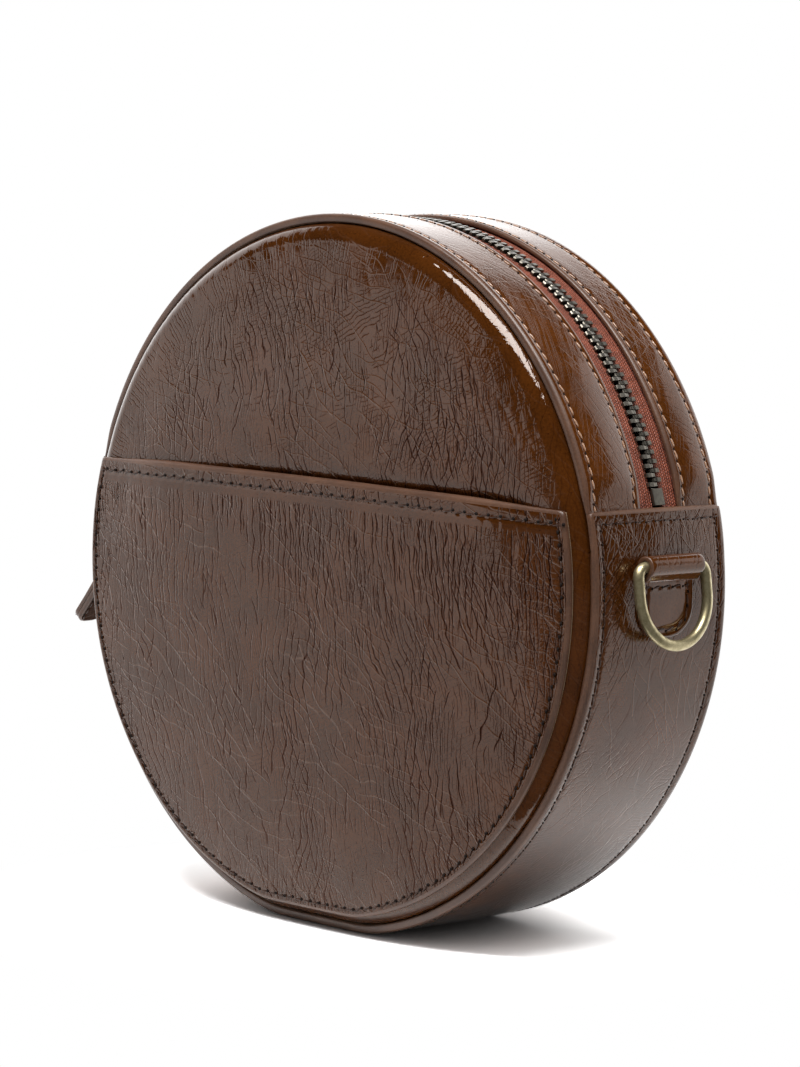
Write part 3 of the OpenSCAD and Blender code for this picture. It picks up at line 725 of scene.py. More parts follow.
def borderLoop(grid):
    return np.concatenate([grid[0, :-1], grid[:-1, -1], grid[-1, :0:-1], grid[:0:-1, 0]])


def loopOutward(loop):
    along = np.roll(loop, -1, axis=0) - np.roll(loop, 1, axis=0)
    outward = np.stack([along[:, 1], -along[:, 0]], axis=1)
    return outward / np.linalg.norm(outward, axis=1, keepdims=True)


def curvedGrid(bottom, top, left, right):
    # A grid of points between four border curves
    u = np.linspace(0, 1, len(bottom))[None, :, None]
    v = np.linspace(0, 1, len(left))[:, None, None]
    sides = (1 - v) * bottom[None] + v * top[None] + (1 - u) * left[:, None] + u * right[:, None]
    corners = ((1 - u) * (1 - v) * bottom[0] + u * (1 - v) * bottom[-1]
               + (1 - u) * v * top[0] + u * v * top[-1])
    return sides - corners


def arcPoints(radius, fromAngle, toAngle, count):
    turn = np.radians(np.linspace(fromAngle, toAngle, count + 1))
    return np.stack([radius * np.cos(turn), radius * np.sin(turn)], axis=1)


def discGrid(radius, count):
    return curvedGrid(arcPoints(radius, 225, 315, count), arcPoints(radius, 135, 45, count),
                      arcPoints(radius, 225, 135, count), arcPoints(radius, -45, 45, count))


def roundedSection(edge, thickness, steps=4, back=0.5):
    # From the face's border over a rounded edge to the back: how far out, how far down
    out, down = [], []
    for i in range(1, steps + 1):
        turn = math.pi / 2 * i / steps
        out.append(edge * math.sin(turn))
        down.append(-edge * 0.62 * (1 - math.cos(turn)))
    lower = min(back, thickness / 2)
    for i in range(steps - 1):
        turn = math.pi / 2 * i / (steps - 1)
        out.append(edge - lower * (1 - math.cos(turn)))
        down.append(-thickness + lower * (1 - math.sin(turn)))
    return np.stack([out, down], axis=1)


def buildMesh(name, points, faces, faceMaterials, materialNames, cut=None, seam=None):
    mesh = bpy.data.meshes.new(name)
    mesh.from_pydata(points.tolist(), [], faces)
    for material in materialNames:
        mesh.materials.append(materials[material])
    mesh.polygons.foreach_set("material_index", np.asarray(faceMaterials, dtype=np.int32))
    mesh.polygons.foreach_set("use_smooth", np.ones(len(faces), dtype=bool))
    for label, values in (("cut", cut), ("seam", seam)):
        if values is not None:
            layer = mesh.attributes.new(label, "FLOAT_VECTOR", "POINT")
            layer.data.foreach_set("vector", np.ascontiguousarray(values * mm, dtype=np.float32).ravel())
    mesh.update()
    piece = bpy.data.objects.new(name, mesh)
    bpy.context.scene.collection.objects.link(piece)
    return piece


def sheetPiece(name, flat, section, place, relief=None, keep=None, looks=("patent", "edgePaint", "backing"),
               edgeRings=(0, 99), backHeight=None, step=4, shift=(0.0, 0.0), seamAt=None):
    # A closed sheet: a fine face over the flat grid, rings over its border, and a coarse back.
    # seamAt gives, for flat points, the run along the nearest seam and the distances from it and the mouth.
    rows, columns = flat.shape[:2]
    backHeight = section[-1][1] if backHeight is None else backHeight
    keep = np.linspace(1, 0, len(section)) if keep is None else keep
    relief = relief or (lambda a, b: np.zeros(a.shape))
    index = np.arange(rows * columns).reshape(rows, columns)
    face = np.stack([index[:-1, :-1], index[:-1, 1:], index[1:, 1:], index[1:, :-1]], axis=-1).reshape(-1, 4)
    points = [place(flat, relief(flat[..., 0], flat[..., 1])).reshape(-1, 3)]
    cuts = [np.concatenate([flat.reshape(-1, 2), np.zeros((rows * columns, 1))], axis=1)]
    faces, kinds = face.tolist(), [0] * len(face)
    loop, loopIndex = borderLoop(flat), borderLoop(index)
    outward = loopOutward(loop)
    profile = np.concatenate([[[0, 0]], section])
    tangent = np.gradient(profile, axis=0)
    tangent /= np.linalg.norm(tangent, axis=1, keepdims=True)
    length = np.concatenate([[0], np.cumsum(np.linalg.norm(np.diff(profile, axis=0), axis=1))])
    total, count = rows * columns, len(loop)
    previous = loopIndex
    for ring in range(len(section)):
        out, height = section[ring]
        leanOut, leanUp = -tangent[ring + 1][1], tangent[ring + 1][0]
        spread = loop + outward * length[ring + 1]
        rise = relief(spread[:, 0], spread[:, 1]) * keep[ring]
        ringFlat = loop + outward * (out + rise * leanOut)[:, None]
        points.append(place(ringFlat, height + rise * leanUp))
        cuts.append(np.concatenate([spread, np.zeros((count, 1))], axis=1))
        current = total + np.arange(count)
        total += count
        quads = np.stack([previous, current, np.roll(current, -1), np.roll(previous, -1)], axis=1)
        faces += quads.tolist()
        kinds += [1 if edgeRings[0] <= ring < edgeRings[1] else (0 if ring < edgeRings[0] else 2)] * count
        previous = current
    coarse = flat[::step, ::step]
    coarseRows, coarseColumns = coarse.shape[:2]
    coarseIndex = total + np.arange(coarseRows * coarseColumns).reshape(coarseRows, coarseColumns)
    points.append(place(coarse, np.full(coarse.shape[:2], backHeight)).reshape(-1, 3))
    cuts.append(np.concatenate([coarse.reshape(-1, 2), np.ones((coarseRows * coarseColumns, 1))], axis=1))
    inner = borderLoop(coarseIndex)
    for part in range(len(inner)):
        near, following = inner[part], inner[(part + 1) % len(inner)]
        ends = [previous[(part * step + i) % count] for i in range(step + 1)]
        half = step // 2
        fan = [(ends[i], near, ends[i + 1]) for i in range(half)]
        fan.append((ends[half], near, following))
        fan += [(ends[i], following, ends[i + 1]) for i in range(half, step)]
        faces += [tuple(int(corner) for corner in triangle) for triangle in fan]
        kinds += [2] * len(fan)
    backFaces = np.stack([coarseIndex[:-1, :-1], coarseIndex[1:, :-1], coarseIndex[1:, 1:],
                          coarseIndex[:-1, 1:]], axis=-1).reshape(-1, 4)
    faces += backFaces.tolist()
    kinds += [2] * len(backFaces)
    cut = np.concatenate(cuts)
    seam = np.stack(seamAt(cut[:, 0], cut[:, 1]), axis=1) if seamAt else np.full(cut.shape, 999.0)
    cut[:, :2] += np.array(shift)
    return buildMesh(name, toBagFrame(np.concatenate(points)), faces, kinds, looks, cut, seam)


def onBag(piece, slot, *nodes, body="bag"):
    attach(piece, body)
    if nodes:
        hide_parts(*nodes)
    return piece


def newShapeTree(name, floats, **others):
    # An empty node tree with its sockets, whose identifiers come back by their labels
    tree = bpy.data.node_groups.new(name, "GeometryNodeTree")
    sockets = {}
    for label, kind in (("Geometry", "Geometry"), *((label, "Float") for label in floats), *others.items(),
                        ("Material", "Material")):
        socket = tree.interface.new_socket(label, in_out="INPUT", socket_type=f"NodeSocket{kind}")
        sockets[label] = socket.identifier
    tree.interface.new_socket("Geometry", in_out="OUTPUT", socket_type="NodeSocketGeometry")
    return tree, tree.nodes.new("NodeGroupInput").outputs, tree.nodes.new("NodeGroupOutput"), sockets


def dressTree(tree, given, result, made):
    dressed = addNode(tree, "GeometryNodeSetMaterial", {"Geometry": made.outputs[0],
                                                        "Material": given["Material"]})
    tree.links.new(dressed.outputs[0], result.inputs[0])


# Stitches, by one node tree

def makeStitchTree():
    tree, given, result, sockets = newShapeTree(
        "stitchRow", ("Pitch", "Length", "Thickness", "Slant", "Shift", "Sink"), Seed="Int")
    curve = addNode(tree, "GeometryNodeMeshToCurve", {"Mesh": given["Geometry"]}).outputs[0]
    row = addNode(tree, "GeometryNodeResampleCurve", {"Curve": curve, "Length": given["Pitch"]},
                  mode="LENGTH")
    bead = addNode(tree, "GeometryNodeMeshUVSphere", {"Segments": 8, "Rings": 5, "Radius": 0.5})
    size = addNode(tree, "ShaderNodeCombineXYZ", {0: given["Length"], 1: given["Thickness"],
                                                  2: maths(tree, "MULTIPLY", given["Thickness"], 0.8)})
    offset = addNode(tree, "ShaderNodeCombineXYZ", {0: given["Shift"], 2: maths(
        tree, "MULTIPLY", given["Sink"], -1.0)})
    shaped = addNode(tree, "GeometryNodeTransform", {
        "Geometry": bead.outputs[0], "Translation": offset.outputs[0], "Scale": size.outputs[0]})
    tangent = addNode(tree, "GeometryNodeInputTangent").outputs[0]
    faceUp = addNode(tree, "GeometryNodeInputNamedAttribute", {"Name": "faceUp"}, data_type="FLOAT_VECTOR")
    turned = addNode(tree, "FunctionNodeAlignRotationToVector", {"Vector": tangent}, axis="X")
    stood = addNode(tree, "FunctionNodeAlignRotationToVector",
                    {"Rotation": turned.outputs[0], "Vector": faceUp.outputs[0]}, axis="Z", pivot_axis="X")
    wobble = addNode(tree, "FunctionNodeRandomValue", {"Seed": given["Seed"]}, data_type="FLOAT")
    wobble.inputs[2].default_value, wobble.inputs[3].default_value = -0.09, 0.09
    slant = maths(tree, "ADD", given["Slant"], wobble.outputs[1])
    twist = addNode(tree, "FunctionNodeAxisAngleToRotation", {"Axis": (0, 0, 1), "Angle": slant})
    leaned = addNode(tree, "FunctionNodeRotateRotation", {0: stood.outputs[0], 1: twist.outputs[0]},
                     rotation_space="LOCAL")
    beads = addNode(tree, "GeometryNodeInstanceOnPoints", {
        "Points": row.outputs[0], "Instance": shaped.outputs[0], "Rotation": leaned.outputs[0]})
    real = addNode(tree, "GeometryNodeRealizeInstances", {0: beads.outputs[0]})
    smooth = addNode(tree, "GeometryNodeSetShadeSmooth", {0: real.outputs[0]})
    dressTree(tree, given, result, smooth)
    return tree, sockets


stitchTree, stitchSockets = makeStitchTree()


def bakeNodes(piece):
    # Turns what the piece's node tree makes into a plain mesh
    bpy.context.view_layer.update()
    evaluated = piece.evaluated_get(bpy.context.evaluated_depsgraph_get())
    mesh = bpy.data.meshes.new_from_object(evaluated)
    piece.modifiers.clear()
    old = piece.data
    piece.data = mesh
    bpy.data.meshes.remove(old)
    return piece


def stitchPiece(name, rows, look, material, slot="zip_tape", body="bag", seed=1):
    # rows: lists of (points, normals) in the bag's frame, in metres
    points, normals, edges = [], [], []
    for rowPoints, rowNormals in rows:
        start = len(points)
        points += rowPoints.tolist()
        normals += rowNormals.tolist()
        edges += [(start + i, start + i + 1) for i in range(len(rowPoints) - 1)]
    thread = {"Length": look["length"], "Thickness": look["thickness"], "Shift": 0.0, "Sink": look["sink"]}
    # Painted shadow: near-black beads between the stitches stand in for the shade in the needle holes
    holeShadows = {"Length": look["hole"], "Thickness": look["hole"] * 0.8, "Shift": look["pitch"] / 2,
             "Sink": look["sink"]}
    for suffix, values, dress in (("", thread, material), ("Holes", holeShadows, "needleHoleShadow")):
        mesh = bpy.data.meshes.new(name + suffix)
        mesh.from_pydata(points, edges, [])
        layer = mesh.attributes.new("faceUp", "FLOAT_VECTOR", "POINT")
        layer.data.foreach_set("vector", np.asarray(normals, dtype=np.float32).ravel())
        piece = bpy.data.objects.new(name + suffix, mesh)
        bpy.context.scene.collection.objects.link(piece)
        modifier = piece.modifiers.new("stitches", "NODES")
        modifier.node_group = stitchTree
        for label, value in (("Pitch", look["pitch"]), ("Slant", look["slant"]), *values.items()):
            scaled = value if label == "Slant" else value * mm
            modifier[stitchSockets[label]] = float(scaled)
        modifier[stitchSockets["Seed"]] = seed
        modifier[stitchSockets["Material"]] = materials[dress]
        onBag(bakeNodes(piece), slot, body=body)


def seamRow(place, relief, path, lift=0.0):
    # Points and normals of a row sewn along a flat path on a placed sheet
    path = np.asarray(path)
    step = 0.5

    def spot(a, b):
        flat = np.stack([a, b], axis=-1)
        return toBagFrame(place(flat, relief(a, b) + lift))

    a, b = path[:, 0], path[:, 1]
    du = spot(a + step, b) - spot(a - step, b)
    dv = spot(a, b + step) - spot(a, b - step)
    normal = np.cross(du, dv)
    normal /= np.linalg.norm(normal, axis=1, keepdims=True)
    return spot(a, b), normal


def seamGroove(distance, run, seam):
    # A sewn line pulls the leather down, most at its needle holes, and plumps the leather beside it
    pull = seam["depth"] * (0.72 + 0.28 * np.cos(2 * np.pi * run / seam["pitch"]))
    line = -pull * np.exp(-((distance - seam["inset"]) / seam["width"]) ** 2)
    bead = seam["bead"] * np.exp(-((distance - seam["inset"] * 0.42) / (seam["inset"] * 0.36)) ** 2)
    return line + bead


# Panels

panelShape = {
    "radius": 97.25,
    "roll": 5.0,
    "rollDepth": 24.3,
    "rise": 4.0,
    "power": 2.6,
    "flangeDepth": 19.0,
    "thickness": 1.4,
    "floor": -95.617,
    "count": 256,
}
rollStart = panelShape["radius"] - panelShape["roll"]
faceDepth = panelShape["rollDepth"] + panelShape["roll"]


def domeHeight(radius):
    share = np.clip(radius / rollStart, 0, 1)
    return panelShape["rise"] * (1 - share ** panelShape["power"])


def panelPlace(flat, height):
    radius = np.maximum(np.linalg.norm(flat, axis=-1), 1e-6)
    floor = panelShape["floor"] + panelShape["radius"] - radius
    y = softMax(flat[..., 1], floor)
    z = faceDepth + domeHeight(radius) + height
    return np.stack([flat[..., 0], y, z], axis=-1)


def turnedToBack(place):
    def placed(flat, height):
        points = place(flat, height)
        return points * np.array([-1.0, 1.0, -1.0])
    return placed


def panelSection(shape):
    roll, inner = shape["roll"], shape["roll"] - shape["thickness"]
    flange = shape["flangeDepth"] - faceDepth
    out, down = [], []
    for i in range(1, 11):
        turn = math.pi / 2 * i / 10
        out.append(roll * math.sin(turn))
        down.append(-roll * (1 - math.cos(turn)))
    for share in (0.5, 1.0):
        out.append(roll)
        down.append(-roll + (flange + roll) * share)
    out.append((roll + inner) / 2)
    down.append(flange - 0.25)
    out.append(inner)
    down.append(flange)
    for i in range(4, -1, -1):
        turn = math.pi / 2 * i / 4
        out.append(max(inner * math.sin(turn), 0.4))
        down.append(-roll + inner * math.cos(turn))
    return np.stack([out, down], axis=1)


def panelRelief(seed, turn=0.0):
    def relief(a, b):
        radius = np.hypot(a, b)
        calm = 1 - 0.55 * smoothStep(radius, 86, 96)
        rim = smoothStep(radius, 88, 93) * (1 - smoothStep(radius, 98, 101))
        around = np.arctan2(b, a) * 95
        pleats = -0.10 * rim * np.clip(gradientNoise(around / 2.6, radius / 14, seed + 5), -0.2, 1)
        return leatherRelief(a, b, seed, turn) * calm + pleats
    return relief


def panelSeam(a, b):
    fromRim = rollStart + 0.8 - np.hypot(a, b)
    return np.arctan2(a, b) * panelShape["radius"], np.maximum(fromRim, 0), 999 + 0 * a


def frontRelief(a, b):
    # Behind the pocket's mouth the panel sinks, which leaves a dark gap
    sunk = smoothStep(a, -70, -10) * (1 - smoothStep(a, 62, 86))
    ragged = 0.35 * gradientNoise(a / 3.1, b / 9.0, 17) + 0.25 * gradientNoise(a / 1.7, b / 6.0, 18)
    return panelRelief(7)(a, b) - (1.7 + ragged) * sunk * np.exp(-((b - 24.6) / 3.6) ** 2)


panelKeep = np.concatenate([np.linspace(1, 0.25, 10), np.zeros(9)])
discFlat = discGrid(rollStart, panelShape["count"])
panelLooks = ("patentPanel", "edgePaint", "backing")
frontPanel = sheetPiece("frontPanel", discFlat, panelSection(panelShape), panelPlace, frontRelief, panelKeep,
                        looks=panelLooks, edgeRings=(13, 14), seamAt=panelSeam)
onBag(frontPanel, "patent_leather", "front_panel")
backPanel = sheetPiece("backPanel", discFlat, panelSection(panelShape), turnedToBack(panelPlace),
                       panelRelief(29, turn=8.0), panelKeep, looks=panelLooks, edgeRings=(13, 14),
                       shift=(300.0, 40.0), seamAt=panelSeam)
onBag(backPanel, "patent_leather", "back_panel")
print("panels made")

# Front pocket

pocketShape = {
    "radius": 94.7,
    "mouth": 26.0,
    "crown": 1.1,
    "thickness": 1.5,
    "offset": 2.0,
    "edge": 0.95,
    "mouthBulge": 0.7,
    "columns": 352,
    "rows": 176,
}
pocketSeam = {"inset": 2.1, "depth": 0.24, "width": 0.55, "bead": 0.08, "pitch": 3.4}
topSeam = {"inset": 3.3, "depth": 0.26, "width": 0.55, "bead": 0.10, "pitch": 4.1}
pocketStitch = {"pitch": 3.4, "length": 2.5, "thickness": 0.50, "sink": -0.16, "slant": 0.20, "hole": 1.15}


def mouthHeight(x, shape):
    return shape["mouth"] - shape["crown"] / 2 + shape["crown"] * (1 - (x / shape["radius"]) ** 2)


def pocketGrid(shape):
    inner = shape["radius"] - shape["edge"]
    mouth = shape["mouth"] - shape["edge"]
    turn = math.degrees(math.asin(mouth / inner))
    columns, rows = shape["columns"], shape["rows"]
    halfMouth = inner * math.cos(math.radians(turn))
    x = np.linspace(-halfMouth, halfMouth, columns + 1)
    lift = mouthHeight(x, shape) - shape["mouth"]
    lift = lift - lift[0]
    top = np.stack([x, mouth + lift], axis=1)
    return curvedGrid(arcPoints(inner, 222, 318, columns), top,
                      arcPoints(inner, 222, 180 - turn, rows), arcPoints(inner, -42, turn, rows))


def sheetOverPanel(offset):
    def place(flat, height):
        radius = np.maximum(np.linalg.norm(flat, axis=-1), 1e-6)
        floor = panelShape["floor"] + panelShape["radius"] - radius
        reach = panelShape["roll"] + offset + height
        over = np.clip(radius - rollStart, 0, None)
        bend = np.sqrt(np.maximum(reach ** 2 - over ** 2, 0.2))
        z = panelShape["rollDepth"] + bend + domeHeight(radius)
        return np.stack([flat[..., 0], softMax(flat[..., 1], floor), z], axis=-1)
    return place


def pocketRelief(a, b):
    radius = np.hypot(a, b)
    fromRim = pocketShape["radius"] - radius
    fromMouth = mouthHeight(a, pocketShape) - b
    around = np.arctan2(b, a) * 93
    waves = broadWaves(a, b, 7)
    creases = leatherRelief(a, b, 91, turn=-2.0) - broadWaves(a, b, 91)
    calm = smoothStep(np.minimum(fromRim, fromMouth), 1.5, 5.0)
    rise = waves + creases * calm
    # Short upright pleats hang from the mouth's seam
    pleat = np.clip(gradientNoise(a / 2.4, b / 30, 77), 0, 1) * smoothStep(fromMouth, 3.0, 5.0) * (
        1 - smoothStep(fromMouth, 12, 30))
    rise = rise - 0.07 * pleat
    rise = rise + pocketShape["mouthBulge"] * (1 - smoothStep(fromMouth, 0, 34)) * smoothStep(fromRim, 2, 30)
    rise = rise + seamGroove(np.minimum(fromRim, 20), around, pocketSeam) * smoothStep(fromMouth, 1.5, 3.5)
    return rise + seamGroove(np.minimum(fromMouth, 20), a, topSeam) * smoothStep(fromRim, 1.5, 3.0)


def pocketSeamAt(a, b):
    fromRim = pocketShape["radius"] - pocketSeam["inset"] - np.hypot(a, b)
    fromMouth = mouthHeight(a, pocketShape) - topSeam["inset"] - b
    rimIsNear = fromRim < fromMouth
    return (np.where(rimIsNear, np.arctan2(a, -b) * pocketShape["radius"], a + 500.0),
            np.maximum(np.minimum(fromRim, fromMouth), 0), np.where(fromMouth > 0, fromMouth, 999))


pocketPlace = sheetOverPanel(pocketShape["offset"])
pocketSection = roundedSection(pocketShape["edge"], pocketShape["thickness"])
frontPocket = sheetPiece("frontPocket", pocketGrid(pocketShape), pocketSection, pocketPlace, pocketRelief,
                         keep=np.full(len(pocketSection), 1.0), backHeight=-pocketShape["thickness"],
                         shift=(0.0, -210.0), seamAt=pocketSeamAt)
onBag(frontPocket, "patent_leather", "front_pocket")

sewnRadius = pocketShape["radius"] - pocketSeam["inset"]
sewnMouth = pocketShape["mouth"] - topSeam["inset"]
cornerTurn = math.degrees(math.asin((sewnMouth - 0.5) / sewnRadius))
rimPath = arcPoints(sewnRadius, 180 - cornerTurn, 360 + cornerTurn, 420)
mouthX = np.linspace(-1, 1, 200) * math.sqrt(sewnRadius ** 2 - sewnMouth ** 2)
mouthPath = np.stack([mouthX, mouthHeight(mouthX, pocketShape) - topSeam["inset"]], axis=1)
stitchPiece("pocketStitches", [seamRow(pocketPlace, pocketRelief, rimPath)], pocketStitch, "threadDark",
            seed=3)
stitchPiece("mouthStitches", [seamRow(pocketPlace, pocketRelief, mouthPath)],
            dict(pocketStitch, pitch=topSeam["pitch"], length=3.3), "threadDark", seed=4)

pocketLiningShape = dict(pocketShape, radius=94.4, mouth=25.6, edge=0.15, thickness=0.35, columns=96, rows=48,
                         offset=0.43)
pocketLining = sheetPiece(
    "pocketLining", pocketGrid(pocketLiningShape),
    roundedSection(pocketLiningShape["edge"], pocketLiningShape["thickness"], 2, 0.15),
    sheetOverPanel(pocketLiningShape["offset"]), lambda a, b: broadWaves(a, b, 7), keep=np.ones(3),
    backHeight=-pocketLiningShape["thickness"], looks=("lining",) * 3)
onBag(pocketLining, "lining_cloth", "pocket_lining")
print("pocket made")

# Gusset

gussetShape = {
    "thickness": 2.65,
    "tabThickness": 1.9,
    "edge": 1.1,
    "rowStep": 0.62,
    "crown": 0.30,
    "tabCrown": 0.42,  # how much its ends rise along their middle
}
gussetSeam = {"inset": 3.2, "depth": 0.24, "width": 0.55, "bead": 0.14, "pitch": 3.6}
gussetStitch = {"pitch": 3.6, "length": 2.9, "thickness": 0.58, "sink": -0.10, "slant": 0.14, "hole": 0.8}
degree = math.pi / 180 * roundBody["radius"]


def bandPlace(radius, thin=None):
    def place(flat, height):
        turn = flat[..., 0] / roundBody["radius"]
        if thin is not None:
            height = np.where(height < 0, height * thin(flat[..., 0]), height)
        reach = radius + height
        y = reach * np.sin(turn)
        floor = -roundBody["middleHeight"] + (roundBody["radius"] - reach)
        return np.stack([reach * np.cos(turn), softMax(y, floor), flat[..., 1]], axis=-1)
    return place


def bandGrid(fromRun, toRun, fromDepth, toDepth, edge, step):
    columns = max(4, int(round((toRun - fromRun) / step / 4)) * 4)
    rows = max(4, int(round((toDepth - fromDepth) / step / 4)) * 4)
    run = np.linspace(fromRun + edge, toRun - edge, columns + 1)
    depth = np.linspace(fromDepth + edge, toDepth - edge, rows + 1)
    return np.stack(np.meshgrid(run, depth), axis=-1)


tabRun = roundBody["tabAngle"] * degree
lowerRun = (-180 - roundBody["tabAngle"]) * degree
middleRun = -90 * degree


def fromGussetEnd(run, inset=0.0):
    return tabRun + 90 * degree - inset - np.abs(run - middleRun)


def gussetThin(run):
    fromTab = fromGussetEnd(run)
    return 1 - (1 - gussetShape["tabThickness"] / gussetShape["thickness"]) * (1 - smoothStep(fromTab, 8, 16))


def gussetRelief(a, b):
    fromEdge = roundBody["halfWidth"] - np.abs(b)
    fromTab = fromGussetEnd(a)
    nearest = np.minimum(fromEdge, fromTab)
    calm = smoothStep(nearest, 2.0, 6.0) * 0.8
    rise = leatherRelief(a, b, 133, turn=62.0, depth=0.7) * calm
    share = (b / roundBody["halfWidth"]) ** 2
    rise = rise - gussetShape["crown"] * share
    rise = rise + gussetShape["tabCrown"] * (1 - share) * (1 - smoothStep(fromTab, 28, 52))
    rise = rise + seamGroove(np.minimum(fromEdge, 20), a, gussetSeam) * smoothStep(fromTab, 1.5, 3.5)
    return rise + seamGroove(np.minimum(fromTab, 20), b, gussetSeam) * smoothStep(fromEdge, 1.5, 3.5)


def gussetSeamAt(a, b):
    fromEdge = roundBody["halfWidth"] - gussetSeam["inset"] - np.abs(b)
    fromTab = fromGussetEnd(a, gussetSeam["inset"])
    return (np.where(fromEdge < fromTab, a, b + 700.0), np.maximum(np.minimum(fromEdge, fromTab), 0),
            999 + 0 * a)


gussetPlace = bandPlace(roundBody["radius"], gussetThin)
gussetFlat = bandGrid(lowerRun, tabRun, -roundBody["halfWidth"], roundBody["halfWidth"], gussetShape["edge"],
                      gussetShape["rowStep"])
gussetSection = roundedSection(gussetShape["edge"], gussetShape["thickness"], back=0.7)
lowerGusset = sheetPiece("lowerGusset", gussetFlat, gussetSection, gussetPlace, gussetRelief,
                         backHeight=-gussetShape["thickness"], looks=("patentBand", "edgePaint", "backing"),
                         shift=(0.0, 400.0), seamAt=gussetSeamAt)
onBag(lowerGusset, "patent_leather", "lower_gusset", "gusset_backing")

sewnDepth = roundBody["halfWidth"] - gussetSeam["inset"]
sewnEnd = tabRun - gussetSeam["inset"]
sewnStart = lowerRun + gussetSeam["inset"]
sideRun = np.linspace(sewnStart, sewnEnd, 560)
tabDepth = np.linspace(-sewnDepth, sewnDepth, 40)
gussetRows = [seamRow(gussetPlace, gussetRelief, np.stack([sideRun, np.full(560, side * sewnDepth)], axis=1))
              for side in (-1, 1)]
gussetRows += [seamRow(gussetPlace, gussetRelief, np.stack([np.full(40, end), tabDepth], axis=1))
               for end in (sewnStart, sewnEnd)]
stitchPiece("gussetStitches", gussetRows, gussetStitch, "threadDark", seed=5)
print("lower gusset made")

# Zip strips

stripShape = {
    "radius": 99.8,
    "opening": {"front": 5.1, "back": -9.9},
    "thickness": 2.4,
    "innerThickness": 1.4,
    "edge": 1.0,
    "rowStep": 0.62,
    "crown": {"front": 1.15, "back": 0.8},
    "crownAtTop": 0.04,  # the share of it that is left at the top, where the strips lie flatter
    "dip": 0.95,
    "dipRun": 9.0,
    "innerInset": 2.3,  # of the seam beside the zip
}
stripSeam = {"inset": 3.0, "depth": 0.22, "width": 0.5, "bead": 0.16, "pitch": 3.4}
stripStitch = {"pitch": 3.4, "length": 2.7, "thickness": 0.60, "sink": -0.12, "slant": 0.14, "hole": 0.75}
lapRun = roundBody["lapAngle"] * degree
stripFrom, stripTo = lapRun, 180 * degree - lapRun


def fromStripTab(run):
    return np.minimum(run - tabRun, 180 * degree - tabRun - run)


def stripDip(run):
    return -stripShape["dip"] * (1 - smoothStep(fromStripTab(run), -1.0, stripShape["dipRun"]))


def stripPlace(side):
    outer = side * roundBody["halfWidth"]
    base = bandPlace(stripShape["radius"])

    def place(flat, height):
        # Thick where it is folded over the panel's flange, thin over the tape
        fromOuter = np.abs(flat[..., 1] - outer)
        single = stripShape["innerThickness"] / stripShape["thickness"]
        thick = 1 - (1 - single) * smoothStep(fromOuter, 9, 12)
        pared = 1 - 0.72 * (1 - smoothStep(fromStripTab(flat[..., 0]), -2.0, 8.0))
        height = np.where(height < 0, height * thick * pared, height)
        return base(flat, height + stripDip(flat[..., 0]))
    return place


def stripRelief(side, inner, seed, crown):
    outer = side * roundBody["halfWidth"]

    def relief(a, b):
        fromOuter, fromInner = np.abs(b - outer), np.abs(b - inner)
        share = fromOuter / (fromOuter + fromInner)
        nearest = np.minimum(fromOuter, fromInner)
        calm = smoothStep(nearest, 1.6, 5.0) * 0.7
        rise = leatherRelief(a, b, seed, turn=58.0, depth=0.25) * calm
        low = smoothStep(np.abs(a / degree - 90), 42, 62)
        full = stripShape["crownAtTop"] + (1 - stripShape["crownAtTop"]) * low
        full = full * smoothStep(fromStripTab(a), 0, 10)
        rise = rise + crown * full * 4 * share * (1 - share) - 0.1
        rise = rise + seamGroove(np.minimum(fromOuter, 20), a, stripSeam)
        innerSeam = dict(stripSeam, inset=stripShape["innerInset"])
        return rise + seamGroove(np.minimum(fromInner, 20), a, innerSeam)
    return relief


for name, side, tone in (("front", 1, 211), ("back", -1, 233)):
    inner = stripShape["opening"][name]
    outer = side * roundBody["halfWidth"]
    place, relief = stripPlace(side), stripRelief(side, inner, tone, stripShape["crown"][name])

    def stripSeamAt(a, b, outer=outer, inner=inner):
        return a + 3 * b, np.maximum(np.minimum(np.abs(b - outer), np.abs(b - inner)) - 2.6, 0), 999 + 0 * a

    stripFlat = bandGrid(stripFrom, stripTo, min(inner, outer), max(inner, outer), stripShape["edge"],
                         stripShape["rowStep"])
    section = roundedSection(stripShape["edge"], stripShape["thickness"], back=0.6)
    strip = sheetPiece(f"zipStrip{name.capitalize()}", stripFlat, section, place, relief,
                       backHeight=-stripShape["thickness"], looks=("patentStrip", "edgePaint", "backing"),
                       shift=(tone * 3.0, 600.0), seamAt=stripSeamAt)
    onBag(strip, "patent_leather", f"zip_strip_{name}", f"strip_backing_{name}")
    run = np.linspace(tabRun + 0.5, 180 * degree - tabRun - 0.5, 460)
    rows = [seamRow(place, relief, np.stack([run, np.full(460, depth)], axis=1))
            for depth in (outer - side * stripSeam["inset"], inner + side * stripShape["innerInset"])]
    stitchPiece(f"zipStitches{name.capitalize()}", rows, stripStitch, "threadLight", seed=tone)
print("zip strips made")

# Zip

zipShape = {
    "depth": -2.4,
    "tapeRadius": 98.35,
    "tapeThickness": 0.6,
    "tapeWidth": 31.0,
    "tapeGap": 3.8,
    "chainRadius": 98.05,
    "chainWidth": 5.4,
    "chainThickness": 2.4,
    "toothReach": 0.8,
    "toothLength": 1.22,
    "pitch": 2.54,
    "chainStart": 5.8,  # from the gusset's end to the first tooth
    "count": 96,
    "liningEdge": 18.9,  # how far from the middle the linings under the tapes and the gusset reach
    "liningGap": 4.6,
    "liningThickness": 0.5,
}


